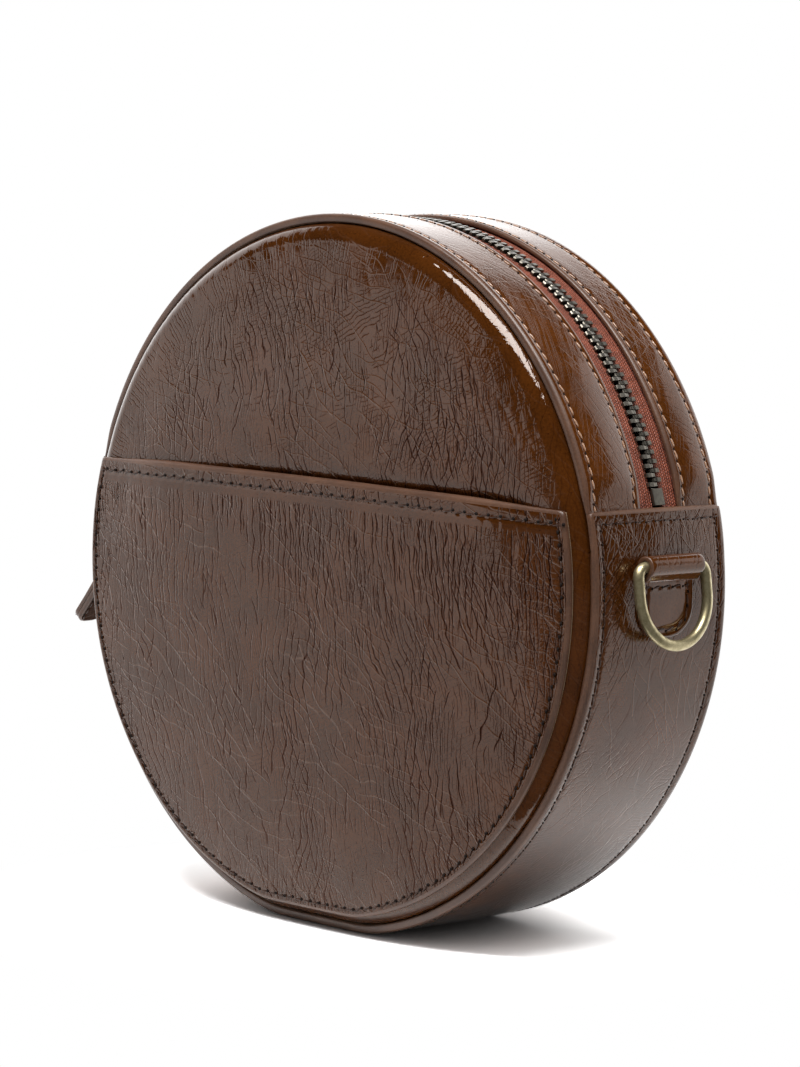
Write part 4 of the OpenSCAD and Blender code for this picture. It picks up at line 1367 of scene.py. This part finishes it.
def bandNodeTree():
    # A flat band swept along an arc of the round body, level with the ground where it would go under it
    tree, given, result, sockets = newShapeTree(
        "roundBand", ("Radius", "Thickness", "From Angle", "Sweep", "Near", "Far", "Middle Height", "Floor"),
        Steps="Int")
    grid = addNode(tree, "GeometryNodeMeshCube", {
        "Size": (1, 1, 1), "Vertices X": given["Steps"], "Vertices Y": 14, "Vertices Z": 2})
    position = addNode(tree, "GeometryNodeInputPosition").outputs[0]
    parts = addNode(tree, "ShaderNodeSeparateXYZ", {0: position}).outputs
    run = maths(tree, "ADD", given["From Angle"], maths(
        tree, "MULTIPLY", given["Sweep"], maths(tree, "ADD", parts[0], 0.5)))
    across = maths(tree, "ADD", given["Near"], maths(tree, "MULTIPLY", maths(
        tree, "SUBTRACT", given["Far"], given["Near"]), maths(tree, "ADD", parts[1], 0.5)))
    reach = maths(tree, "ADD", given["Radius"], maths(
        tree, "MULTIPLY", given["Thickness"], maths(tree, "SUBTRACT", parts[2], 0.5)))
    height = maths(tree, "ADD", given["Middle Height"], maths(
        tree, "MULTIPLY", reach, maths(tree, "SINE", run)))
    level = maths(tree, "SUBTRACT", given["Floor"], maths(tree, "SUBTRACT", reach, given["Radius"]))
    spot = addNode(tree, "ShaderNodeCombineXYZ", {
        0: maths(tree, "MULTIPLY", reach, maths(tree, "COSINE", run)), 1: across,
        2: maths(tree, "MAXIMUM", height, level)})
    cut = addNode(tree, "ShaderNodeCombineXYZ", {0: maths(tree, "MULTIPLY", run, given["Radius"]), 1: across})
    kept = addNode(tree, "GeometryNodeStoreNamedAttribute", {
        "Geometry": grid.outputs[0], "Name": "cut", "Value": cut.outputs[0]}, data_type="FLOAT_VECTOR",
        domain="POINT")
    moved = addNode(tree, "GeometryNodeSetPosition", {
        "Geometry": kept.outputs[0], "Position": spot.outputs[0]})
    real = addNode(tree, "GeometryNodeRealizeInstances", {0: moved.outputs[0]})
    dressTree(tree, given, result, real)
    return tree, sockets


bandTree, bandSockets = bandNodeTree()


def nodePiece(name, tree, sockets, values):
    piece = bpy.data.objects.new(name, bpy.data.meshes.new(name))
    bpy.context.scene.collection.objects.link(piece)
    modifier = piece.modifiers.new("shape", "NODES")
    modifier.node_group = tree
    for label, value in values.items():
        modifier[sockets[label]] = value
    return bakeNodes(piece)


def turnOutward(piece):
    shell = bmesh.new()
    shell.from_mesh(piece.data)
    bmesh.ops.recalc_face_normals(shell, faces=shell.faces)
    shell.to_mesh(piece.data)
    shell.free()
    return piece


def roundBand(name, radius, thickness, near, far, fromAngle, toAngle, material, steps):
    # near and far are depths in the bag's own y, where the front is negative; radius is the outer face's
    radius -= thickness / 2
    piece = nodePiece(name, bandTree, bandSockets, {
        "Radius": radius * mm, "Thickness": thickness * mm, "From Angle": math.radians(fromAngle),
        "Sweep": math.radians(toAngle - fromAngle), "Near": near * mm, "Far": far * mm,
        "Middle Height": roundBody["middleHeight"] * mm,
        "Floor": (roundBody["radius"] - radius) * mm, "Steps": steps, "Material": materials[material]})
    return turnOutward(piece)


tapeHalf, gapHalf, zipY = zipShape["tapeWidth"] / 2, zipShape["tapeGap"] / 2, -zipShape["depth"]
lap = roundBody["lapAngle"]
for name, near, far in (("Front", zipY - tapeHalf, zipY - gapHalf),
                        ("Back", zipY + gapHalf, zipY + tapeHalf)):
    tape = roundBand(f"zipTape{name}", zipShape["tapeRadius"], zipShape["tapeThickness"], near, far,
                     lap, 180 - lap, "tape", steps=320)
    onBag(tape, "zip_tape", f"zip_tape_{name.lower()}")
liningEdge, liningGap = zipShape["liningEdge"], zipShape["liningGap"]
liningThick = zipShape["liningThickness"]
for name, near, far in (("Front", -liningEdge, zipY - liningGap), ("Back", zipY + liningGap, liningEdge)):
    cloth = roundBand(f"zipLining{name}", panelShape["radius"], liningThick, near, far, lap, 180 - lap,
                      "lining", steps=160)
    onBag(cloth, "lining_cloth", f"zip_lining_{name.lower()}")
gussetLining = roundBand("gussetLining", panelShape["radius"], liningThick, -liningEdge, liningEdge,
                         -180 - lap + 0.1, lap - 0.1, "lining", steps=260)
onBag(gussetLining, "lining_cloth", "gusset_lining")


def toothShape():
    # One tooth in millimetres: x out of the tape, y along the zip, z across towards the other row
    width, reach = zipShape["chainWidth"] / 2, zipShape["toothReach"]
    half, thick = zipShape["toothLength"] / 2, zipShape["chainThickness"] / 2
    sections = [  # how far across, half length, half thickness
        (-width, half * 0.88, thick * 0.74), (-width + 0.28, half * 0.98, thick * 0.98),
        (-1.0, half, thick), (-0.25, half * 0.84, thick * 0.92), (0.25, half * 0.84, thick * 0.90),
        (reach - 0.25, half * 0.84, thick * 0.84), (reach, half * 0.60, thick * 0.60)]
    points, faces = [], []
    corner = 0.92
    for z, y, x in sections:
        points += [(x * corner, y, z), (x, y * corner, z), (x, -y * corner, z), (x * corner, -y, z),
                   (-x * corner, -y, z), (-x, -y * corner, z), (-x, y * corner, z), (-x * corner, y, z)]
    for ring in range(len(sections) - 1):
        for i in range(8):
            j = (i + 1) % 8
            faces.append((ring * 8 + i, ring * 8 + j, ring * 8 + 8 + j, ring * 8 + 8 + i))
    faces.append(tuple(range(7, -1, -1)))
    faces.append(tuple(range(len(points) - 8, len(points))))
    mesh = bpy.data.meshes.new("toothShape")
    mesh.from_pydata([tuple(part * mm for part in point) for point in points], [], faces)
    shape = bpy.data.objects.new("toothShape", mesh)
    bpy.context.scene.collection.objects.link(shape)
    turnOutward(shape)
    return shape


def makeTeethTree():
    tree, given, result, sockets = newShapeTree(
        "zipTeeth", ("Radius", "First Angle", "Pitch Angle", "Depth", "Middle Height", "Flip", "Wear"),
        Tooth="Object", Count="Int", Seed="Int")
    line = addNode(tree, "GeometryNodeMeshLine", {"Count": given["Count"]})
    index = addNode(tree, "GeometryNodeInputIndex").outputs[0]
    angle = maths(tree, "ADD", given["First Angle"], maths(tree, "MULTIPLY", index, given["Pitch Angle"]))
    spot = addNode(tree, "ShaderNodeCombineXYZ", {
        0: maths(tree, "MULTIPLY", given["Radius"], maths(tree, "COSINE", angle)), 1: given["Depth"],
        2: maths(tree, "ADD", given["Middle Height"], maths(
            tree, "MULTIPLY", given["Radius"], maths(tree, "SINE", angle)))})
    placed = addNode(tree, "GeometryNodeSetPosition", {
        "Geometry": line.outputs[0], "Position": spot.outputs[0]})
    tooth = addNode(tree, "GeometryNodeObjectInfo", {"Object": given["Tooth"]}).outputs["Geometry"]
    # The tooth's x turns out of the bag, its y along the zip and its z across it
    stood = addNode(tree, "FunctionNodeEulerToRotation", {0: addNode(tree, "ShaderNodeCombineXYZ", {
        0: maths(tree, "ADD", math.pi / 2, maths(tree, "MULTIPLY", given["Flip"], math.pi))}).outputs[0]})
    spun = addNode(tree, "FunctionNodeEulerToRotation", {0: addNode(tree, "ShaderNodeCombineXYZ", {
        1: maths(tree, "MULTIPLY", angle, -1.0)}).outputs[0]})
    wobble = addNode(tree, "FunctionNodeRandomValue", {"Seed": given["Seed"]}, data_type="FLOAT")
    wobble.inputs[2].default_value, wobble.inputs[3].default_value = -1.0, 1.0
    loose = addNode(tree, "FunctionNodeAxisAngleToRotation", {
        "Axis": (0, 1, 0), "Angle": maths(tree, "MULTIPLY", wobble.outputs[1], given["Wear"])})
    turned = addNode(tree, "FunctionNodeRotateRotation", {0: stood.outputs[0], 1: spun.outputs[0]},
                     rotation_space="GLOBAL")
    turned = addNode(tree, "FunctionNodeRotateRotation", {0: turned.outputs[0], 1: loose.outputs[0]},
                     rotation_space="GLOBAL")
    teeth = addNode(tree, "GeometryNodeInstanceOnPoints", {
        "Points": placed.outputs[0], "Instance": tooth, "Rotation": turned.outputs[0]})
    real = addNode(tree, "GeometryNodeRealizeInstances", {0: teeth.outputs[0]})
    dressTree(tree, given, result, real)
    return tree, sockets


teethTree, teethSockets = makeTeethTree()
tooth = toothShape()
toothPitch = zipShape["pitch"] / zipShape["chainRadius"]
firstRun = zipShape["chainStart"] + zipShape["toothLength"] / 2
firstMiddle = math.radians(roundBody["tabAngle"]) + firstRun / zipShape["chainRadius"]
for name, flip, shiftShare in (("Front", 1.0, 0.0), ("Back", 0.0, 0.5)):
    teeth = nodePiece(f"zipTeeth{name}", teethTree, teethSockets, {
        "Tooth": tooth, "Count": zipShape["count"], "Radius": zipShape["chainRadius"] * mm,
        "First Angle": firstMiddle + shiftShare * toothPitch, "Pitch Angle": toothPitch, "Depth": zipY * mm,
        "Middle Height": roundBody["middleHeight"] * mm, "Flip": flip, "Wear": 0.02, "Seed": 4,
        "Material": materials["gunmetal"]})
    onBag(teeth, "zip_metal", f"zip_teeth_{name.lower()}")
bpy.data.objects.remove(tooth)
print("zip made")


# Metal fittings

def joinedCopy(node, name):
    # A copy of the CAD solid with its loose triangles joined
    piece = bpy.data.objects.new(name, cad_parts[node].data.copy())
    bpy.context.scene.collection.objects.link(piece)
    shell = bmesh.new()
    shell.from_mesh(piece.data)
    bmesh.ops.remove_doubles(shell, verts=shell.verts, dist=1e-6)
    bmesh.ops.dissolve_limit(shell, angle_limit=math.radians(1.0), verts=shell.verts, edges=shell.edges)
    bmesh.ops.recalc_face_normals(shell, faces=shell.faces)
    shell.to_mesh(piece.data)
    shell.free()
    for polygon in piece.data.polygons:
        polygon.use_smooth = True
    piece.data.materials.clear()
    return piece


def easeEdges(piece, width, material):
    bevel = piece.modifiers.new("easedEdges", "BEVEL")
    bevel.width = width * mm
    bevel.segments = 2
    bevel.limit_method = "ANGLE"
    bevel.angle_limit = math.radians(35)
    bevel.use_clamp_overlap = True
    evenly = piece.modifiers.new("evenShading", "WEIGHTED_NORMAL")
    evenly.keep_sharp = True
    bakeNodes(piece)
    piece.data.materials.clear()
    piece.data.materials.append(materials[material])
    for polygon in piece.data.polygons:
        polygon.material_index = 0
    return piece


slider = easeEdges(joinedCopy("zip_slider", "zipSlider"), 0.22, "brass")
onBag(slider, "antique_brass", "zip_slider", body="slider")
bottomStop = joinedCopy("zip_bottom_stop", "zipBottomStop")
stopMiddle = np.mean([vertex.co.y for vertex in bottomStop.data.vertices])
for vertex in bottomStop.data.vertices:
    vertex.co.y = stopMiddle + 0.8 * (vertex.co.y - stopMiddle)
bottomStop = easeEdges(bottomStop, 0.2, "gunmetal")
onBag(bottomStop, "zip_metal", "zip_bottom_stop")
topStops = easeEdges(joinedCopy("zip_top_stops", "zipTopStops"), 0.15, "gunmetal")
onBag(topStops, "zip_metal", "zip_top_stops")


def tubePiece(name, path, radius, material, sides=20):
    # A closed tube of round wire along a closed path, in metres
    path = np.asarray(path)
    count = len(path)
    tangent = np.roll(path, -1, axis=0) - np.roll(path, 1, axis=0)
    tangent /= np.linalg.norm(tangent, axis=1, keepdims=True)
    plane = np.cross(path[1] - path[0], path[count // 3] - path[0])
    plane /= np.linalg.norm(plane)
    side = np.cross(tangent, plane)
    side /= np.linalg.norm(side, axis=1, keepdims=True)
    turns = np.linspace(0, 2 * np.pi, sides, endpoint=False)
    points = (path[:, None] + radius * (np.cos(turns)[None, :, None] * side[:, None]
                                        + np.sin(turns)[None, :, None] * plane[None, None]))
    index = np.arange(count * sides).reshape(count, sides)
    following, beside = np.roll(index, -1, axis=0), np.roll(index, -1, axis=1)
    faces = np.stack([index, beside, np.roll(beside, -1, axis=0), following], axis=-1).reshape(-1, 4)
    piece = buildMesh(name, points.reshape(-1, 3), faces.tolist(), [0] * len(faces), [material])
    return turnOutward(piece)


ringShape = {
    "barX": 102.42857,
    "barHeight": 11.3,
    "innerWidth": 23.7,
    "wire": 3.0,
    "drop": 21.2,
    "corner": 3.0,
    "tilt": 9.0,
}


def ringPath(shape):
    half = (shape["innerWidth"] + shape["wire"]) / 2
    corner = shape["corner"]
    bow = -(shape["drop"] - half)
    points = []
    for i in range(24):
        points.append((-(half - corner) + 2 * (half - corner) * i / 24, 0.0))
    for i in range(10):
        turn = math.pi / 2 * (1 - i / 10)
        points.append((half - corner + corner * math.cos(turn), -corner + corner * math.sin(turn)))
    for i in range(8):
        points.append((half, -corner + (bow + corner) * i / 8))
    for i in range(64):
        turn = -math.pi * i / 64
        points.append((half * math.cos(turn), bow + half * math.sin(turn)))
    for i in range(8):
        points.append((-half, bow + (-corner - bow) * i / 8))
    for i in range(10):
        turn = math.pi - math.pi / 2 * i / 10
        points.append((-(half - corner) + corner * math.cos(turn), -corner + corner * math.sin(turn)))
    return np.array(points)


for name, side in (("Right", 1), ("Left", -1)):
    drawn = ringPath(ringShape)
    tilt = math.radians(ringShape["tilt"])
    barHeight = roundBody["middleHeight"] + ringShape["barHeight"]
    path = np.stack([side * (ringShape["barX"] - drawn[:, 1] * math.sin(tilt)), drawn[:, 0],
                     barHeight + drawn[:, 1] * math.cos(tilt)], axis=1)
    ring = tubePiece(f"dRing{name}", path * mm, ringShape["wire"] / 2 * mm, "brass", sides=28)
    onBag(ring, "antique_brass", f"d_ring_{name.lower()}", body=f"ring_{name.lower()}")
print("metal fittings made")

# Ring loops, each a strap folded round its ring's bar

loopShape = {
    "width": 21.0,
    "thickness": 1.4,
    "lowEnd": -8.0,
    "corner": 8.0,
    "flapEnd": 7.4,
    "seamRun": 13.6,  # where along the strap the seam under the ring lies
    "edge": 0.5,
    "step": 0.5,
}
loopSeam = {"inset": 2.4, "depth": 0.22, "width": 0.5, "bead": 0.10, "pitch": 3.7}
loopStitch = {"pitch": 3.7, "length": 2.9, "thickness": 0.60, "sink": -0.10, "slant": 0.14, "hole": 0.95}


def stripeAlong(points):
    run = np.concatenate([[0], np.cumsum(np.linalg.norm(np.diff(points, axis=0), axis=1))])
    tangent = np.gradient(points, run, axis=0)
    tangent /= np.linalg.norm(tangent, axis=1, keepdims=True)
    return run, points, np.stack([tangent[:, 1], -tangent[:, 0]], axis=1)


def alongStripe(stripe):
    run, points, normals = stripe

    def place(flat, height):
        x, y = (np.interp(flat[..., 0], run, points[:, i]) for i in (0, 1))
        nx, ny = (np.interp(flat[..., 0], run, normals[:, i]) for i in (0, 1))
        size = np.hypot(nx, ny)
        return np.stack([x + height * nx / size, y + height * ny / size, flat[..., 1]], axis=-1)
    return place


def strapGrid(length, width, edge, step, corner, roundEnd=False):
    columns = max(8, int(round(length / step / 4)) * 4)
    rows = max(8, int(round(width / step / 4)) * 4)
    run = np.linspace(edge, length - edge, columns + 1)
    half = np.full(columns + 1, width / 2 - edge)
    for fromEnd in ([run - edge, length - edge - run] if roundEnd else [run - edge]):
        inside = np.clip(corner - edge - fromEnd, 0, None)
        half = half - (corner - edge) + np.sqrt(np.maximum((corner - edge) ** 2 - inside ** 2, 0))
    across = np.linspace(-1, 1, rows + 1)
    return np.stack(np.broadcast_arrays(run[None, :], across[:, None] * half[None, :]), axis=-1)


def makeLoop(name, side):
    shape = loopShape
    thick = shape["thickness"]
    bar = np.array([ringShape["barX"], ringShape["barHeight"]])
    base = roundBody["radius"] + 0.05 + thick
    middle = ringShape["wire"] / 2 + 0.1 + thick / 2
    # Middle line of the strap: up the gusset, behind the bar, over it and down its front
    line = [(math.sqrt((base - thick / 2) ** 2 - height ** 2), height)
            for height in np.linspace(shape["lowEnd"], bar[1] - 1.5, 36)]
    for turn in np.radians(np.linspace(178, -62, 60)):
        line.append((bar[0] + middle * math.cos(turn), bar[1] + middle * math.sin(turn)))
    last = np.array(line[-1])
    goal = np.array([base + thick / 2 + 0.12, shape["flapEnd"]])
    for share in np.linspace(0.15, 1, 10):
        line.append(tuple(last * (1 - share) + goal * share))
    line = np.array(line)
    smooth = line.copy()
    for _ in range(6):
        smooth[1:-1] = (smooth[:-2] + 2 * smooth[1:-1] + smooth[2:]) / 4
    run, points, normals = stripeAlong(smooth)
    stripe = (run, points + normals * thick / 2, normals)
    onStripe = alongStripe(stripe)

    def place(flat, height):
        put = onStripe(flat, height)
        return put if side > 0 else put * np.array([-1.0, 1.0, -1.0])

    def relief(a, b):
        halfWidth = shape["width"] / 2
        fromSide = halfWidth - np.abs(b)
        fromLow = np.hypot(np.clip(shape["corner"] - a, 0, None), np.clip(
            np.abs(b) - (halfWidth - shape["corner"]), 0, None))
        fromCorner = shape["corner"] - fromLow
        nearest = np.where(a < shape["corner"], np.minimum(fromSide, fromCorner), fromSide)
        sewn = 1 - smoothStep(a, 13.5, 15.5)
        rise = 0.10 * gradientNoise(a / 6, b / 6, 301)
        rise = rise + seamGroove(np.clip(nearest, 0, 20), a, loopSeam) * sewn
        fromTop = np.abs(a - shape["seamRun"]) + loopSeam["inset"]
        return rise + seamGroove(fromTop, b, dict(loopSeam, bead=0.0)) * smoothStep(fromSide, 1.2, 2.6)

    flat = strapGrid(run[-1], shape["width"], shape["edge"], shape["step"], shape["corner"])
    section = roundedSection(shape["edge"], thick)
    strap = sheetPiece(f"ringLoop{name}", flat, section, place, relief, backHeight=-thick,
                       looks=("patentStrap", "edgePaint", "patentStrap"), step=2, shift=(800.0, 0.0))
    onBag(strap, "patent_leather", f"ring_loop_{name.lower()}")
    inset = loopSeam["inset"]
    halfWidth, corner, topRun = shape["width"] / 2, shape["corner"], shape["seamRun"]
    path = [(topRun, -halfWidth + inset)]
    path += [(r, -halfWidth + inset) for r in np.linspace(13.0, corner, 12)]
    path += [(corner - (corner - inset) * math.sin(t), -halfWidth + corner - (corner - inset) * math.cos(t))
             for t in np.linspace(0, math.pi / 2, 16)]
    path += [(corner - (corner - inset) * math.cos(t), halfWidth - corner + (corner - inset) * math.sin(t))
             for t in np.linspace(0, math.pi / 2, 16)]
    path += [(r, halfWidth - inset) for r in np.linspace(corner, topRun, 12)]
    top = [(topRun, b) for b in np.linspace(-halfWidth + inset, halfWidth - inset, 30)]
    stitchPiece(f"loopStitches{name}", [seamRow(place, relief, path), seamRow(place, relief, top)],
                loopStitch, "threadDark", seed=11)


makeLoop("Right", 1)
makeLoop("Left", -1)
print("ring loops made")

# Zip pull: wire link and two-layer leather pull

pullShape = {
    "linkX": -96.46758,
    "linkHeight": 34.79236,
    "linkLength": 16.5,
    "linkInner": 9.8,
    "linkWire": 1.6,
    "angle": 25.9018,
    "pullX": -103.67528,
    "pullHeight": 19.949885,
    "width": 9.0,
    "thickness": 3.0,
    "length": 57.5,
    "bend": 227.0,
    "neck": 5.2,  # from the link's bar to where the two layers meet
    "tip": 3.0,
    "edge": 0.62,
    "step": 0.4,
}
pullSeam = {"inset": 1.7, "depth": 0.20, "width": 0.42, "bead": 0.06, "pitch": 2.8}
pullStitch = {"pitch": 2.8, "length": 2.2, "thickness": 0.48, "sink": -0.08, "slant": 0.12, "hole": 0.55}


def hungPlace(x, height, angle):
    # Turns points drawn hanging straight down from a bar into their place on the left
    cosine, sine = math.cos(math.radians(angle)), math.sin(math.radians(angle))

    def put(points):
        px, py, pz = points[..., 0], points[..., 1], points[..., 2]
        return np.stack([x + px * cosine + pz * sine, zipY + py,
                         roundBody["middleHeight"] + height - px * sine + pz * cosine], axis=-1) * mm
    return put


def linkPath(shape):
    half = (shape["linkInner"] + shape["linkWire"]) / 2
    corner, length = 1.6, shape["linkLength"]
    points = []
    for cy, cz, start in ((half - corner, -corner, 90), (half - corner, -length + corner, 0),
                          (-half + corner, -length + corner, -90), (-half + corner, -corner, -180)):
        for i in range(9):
            turn = math.radians(start - 90 * i / 8)
            points.append((0.0, cy + corner * math.cos(turn), cz + corner * math.sin(turn)))
    dense = []
    for i, point in enumerate(points):
        following = points[(i + 1) % len(points)]
        gap = math.dist(point, following)
        pieces = max(1, int(gap / 0.8))
        for k in range(pieces):
            dense.append([p + (q - p) * k / pieces for p, q in zip(point, following)])
    return np.array(dense)


toLink = hungPlace(pullShape["linkX"], pullShape["linkHeight"], pullShape["angle"])
link = tubePiece("pullLink", toLink(linkPath(pullShape)), pullShape["linkWire"] / 2 * mm, "brass", sides=16)
onBag(link, "antique_brass", "zip_pull_link", body="pull_link")


def makePull(shape):
    thick = shape["thickness"] / 2 - 0.02
    eye = shape["linkWire"] / 2 + 0.3 + thick / 2
    length, bend, quarter = shape["length"], shape["bend"], shape["thickness"] / 4
    # Middle line of one layer: up its outer side, round the link's bar and down its inner side
    outerSide = [(-bend + (bend + quarter) * math.cos(t), (bend + quarter) * -math.sin(t))
                 for t in np.linspace(length / bend, shape["neck"] / bend, 90)]
    innerSide = [(-bend + (bend - quarter) * math.cos(t), (bend - quarter) * -math.sin(t))
                 for t in np.linspace(shape["neck"] / bend, length / bend, 90)]
    over = [(eye * math.cos(t), eye * math.sin(t)) for t in np.radians(np.linspace(-38, 218, 48))]
    line = np.array(outerSide + over + innerSide)
    smooth = line.copy()
    for _ in range(4):
        smooth[1:-1] = (smooth[:-2] + 2 * smooth[1:-1] + smooth[2:]) / 4
    run, points, normals = stripeAlong(smooth)
    stripe = alongStripe((run, points + normals * thick / 2, normals))
    put = hungPlace(shape["pullX"], shape["pullHeight"], shape["angle"])
    total = run[-1]

    def place(flat, height):
        drawn = stripe(flat, height)
        x, z, across = drawn[..., 0], drawn[..., 1], drawn[..., 2]
        placed = put(np.stack([x, -across, z], axis=-1)) / mm
        # Back from the bag's frame to the round frame, which sheetPiece leaves at the end
        return np.stack([placed[..., 0], placed[..., 2] - roundBody["middleHeight"],
                         -placed[..., 1]], axis=-1)

    def relief(a, b):
        fromSide = shape["width"] / 2 - np.abs(b)
        fromEnd = np.minimum(a, total - a)
        rise = 0.05 * gradientNoise(a / 5, b / 5, 411)
        sewn = 1 - smoothStep(fromEnd, length - 9, length - 6)
        return rise + seamGroove(np.clip(np.minimum(fromSide, fromEnd), 0, 20), a, pullSeam) * sewn

    flat = strapGrid(total, shape["width"], shape["edge"], shape["step"], shape["tip"], roundEnd=True)
    section = roundedSection(shape["edge"], thick, back=0.4)
    pull = sheetPiece("pullTab", flat, section, place, relief, backHeight=-thick,
                      looks=("pullLeatherShaded", "edgePaint", "backing"), step=2, shift=(1000.0, 0.0))
    onBag(pull, "patent_leather", "zip_pull_tab", body="pull")
    inset, half = pullSeam["inset"], shape["width"] / 2
    rows = []
    for first, last in ((inset, length - 8), (total - length + 8, total - inset)):
        for across in (-half + inset, half - inset):
            path = [(r, across) for r in np.linspace(first, last, 80)]
            rows.append(seamRow(place, relief, path))
    stitchPiece("pullStitches", rows, pullStitch, "threadDark", body="pull", seed=17)


makePull(pullShape)
print("pull made")

# Linings and padding inside


def insidePlace(offset, low):
    # Height 0 follows the panel's inner face and height -1 is a flat level, so a pad fills the dome
    def place(flat, height):
        radius = np.linalg.norm(flat, axis=-1)
        top = faceDepth + domeHeight(radius) - offset
        z = top + (top - low) * np.clip(height, -1, 0) + np.maximum(height, 0)
        y = softMax(flat[..., 1], panelShape["floor"] + 1.6, 0.3)
        return np.stack([flat[..., 0], y, z], axis=-1)
    return place


padSection = np.array([(0.9, -0.06), (1.6, -0.25), (1.9, -0.5), (1.9, -0.75), (1.4, -0.94), (0.6, -1.0)])
liningSection = roundedSection(0.25, 0.5, 2, 0.2)
smallDisc = discGrid(90.2, 96)
liningDisc = discGrid(94.9, 96)


def liningPlace(flat, height):
    y = softMax(flat[..., 1], panelShape["floor"] + 1.6, 0.3)
    pucker = 0.12 * gradientNoise(flat[..., 0] / 16, flat[..., 1] / 16, 77) - 0.12
    return np.stack([flat[..., 0], y, 25.9 + pucker + height], axis=-1)


for name, turned in (("front", False), ("back", True)):
    padPlace = insidePlace(1.75, 26.0)
    padPlace = turnedToBack(padPlace) if turned else padPlace
    clothPlace = turnedToBack(liningPlace) if turned else liningPlace
    pad = sheetPiece(f"{name}Padding", smallDisc, padSection, padPlace, lambda a, b: np.full(a.shape, -0.02),
                     looks=("foam",) * 3, backHeight=-1.0)
    onBag(pad, "padding_foam", f"{name}_padding")
    cloth = sheetPiece(f"{name}Lining", liningDisc, liningSection, clothPlace,
                       looks=("lining",) * 3, backHeight=-0.5)
    onBag(cloth, "lining_cloth", f"{name}_lining")
print("linings and padding made")
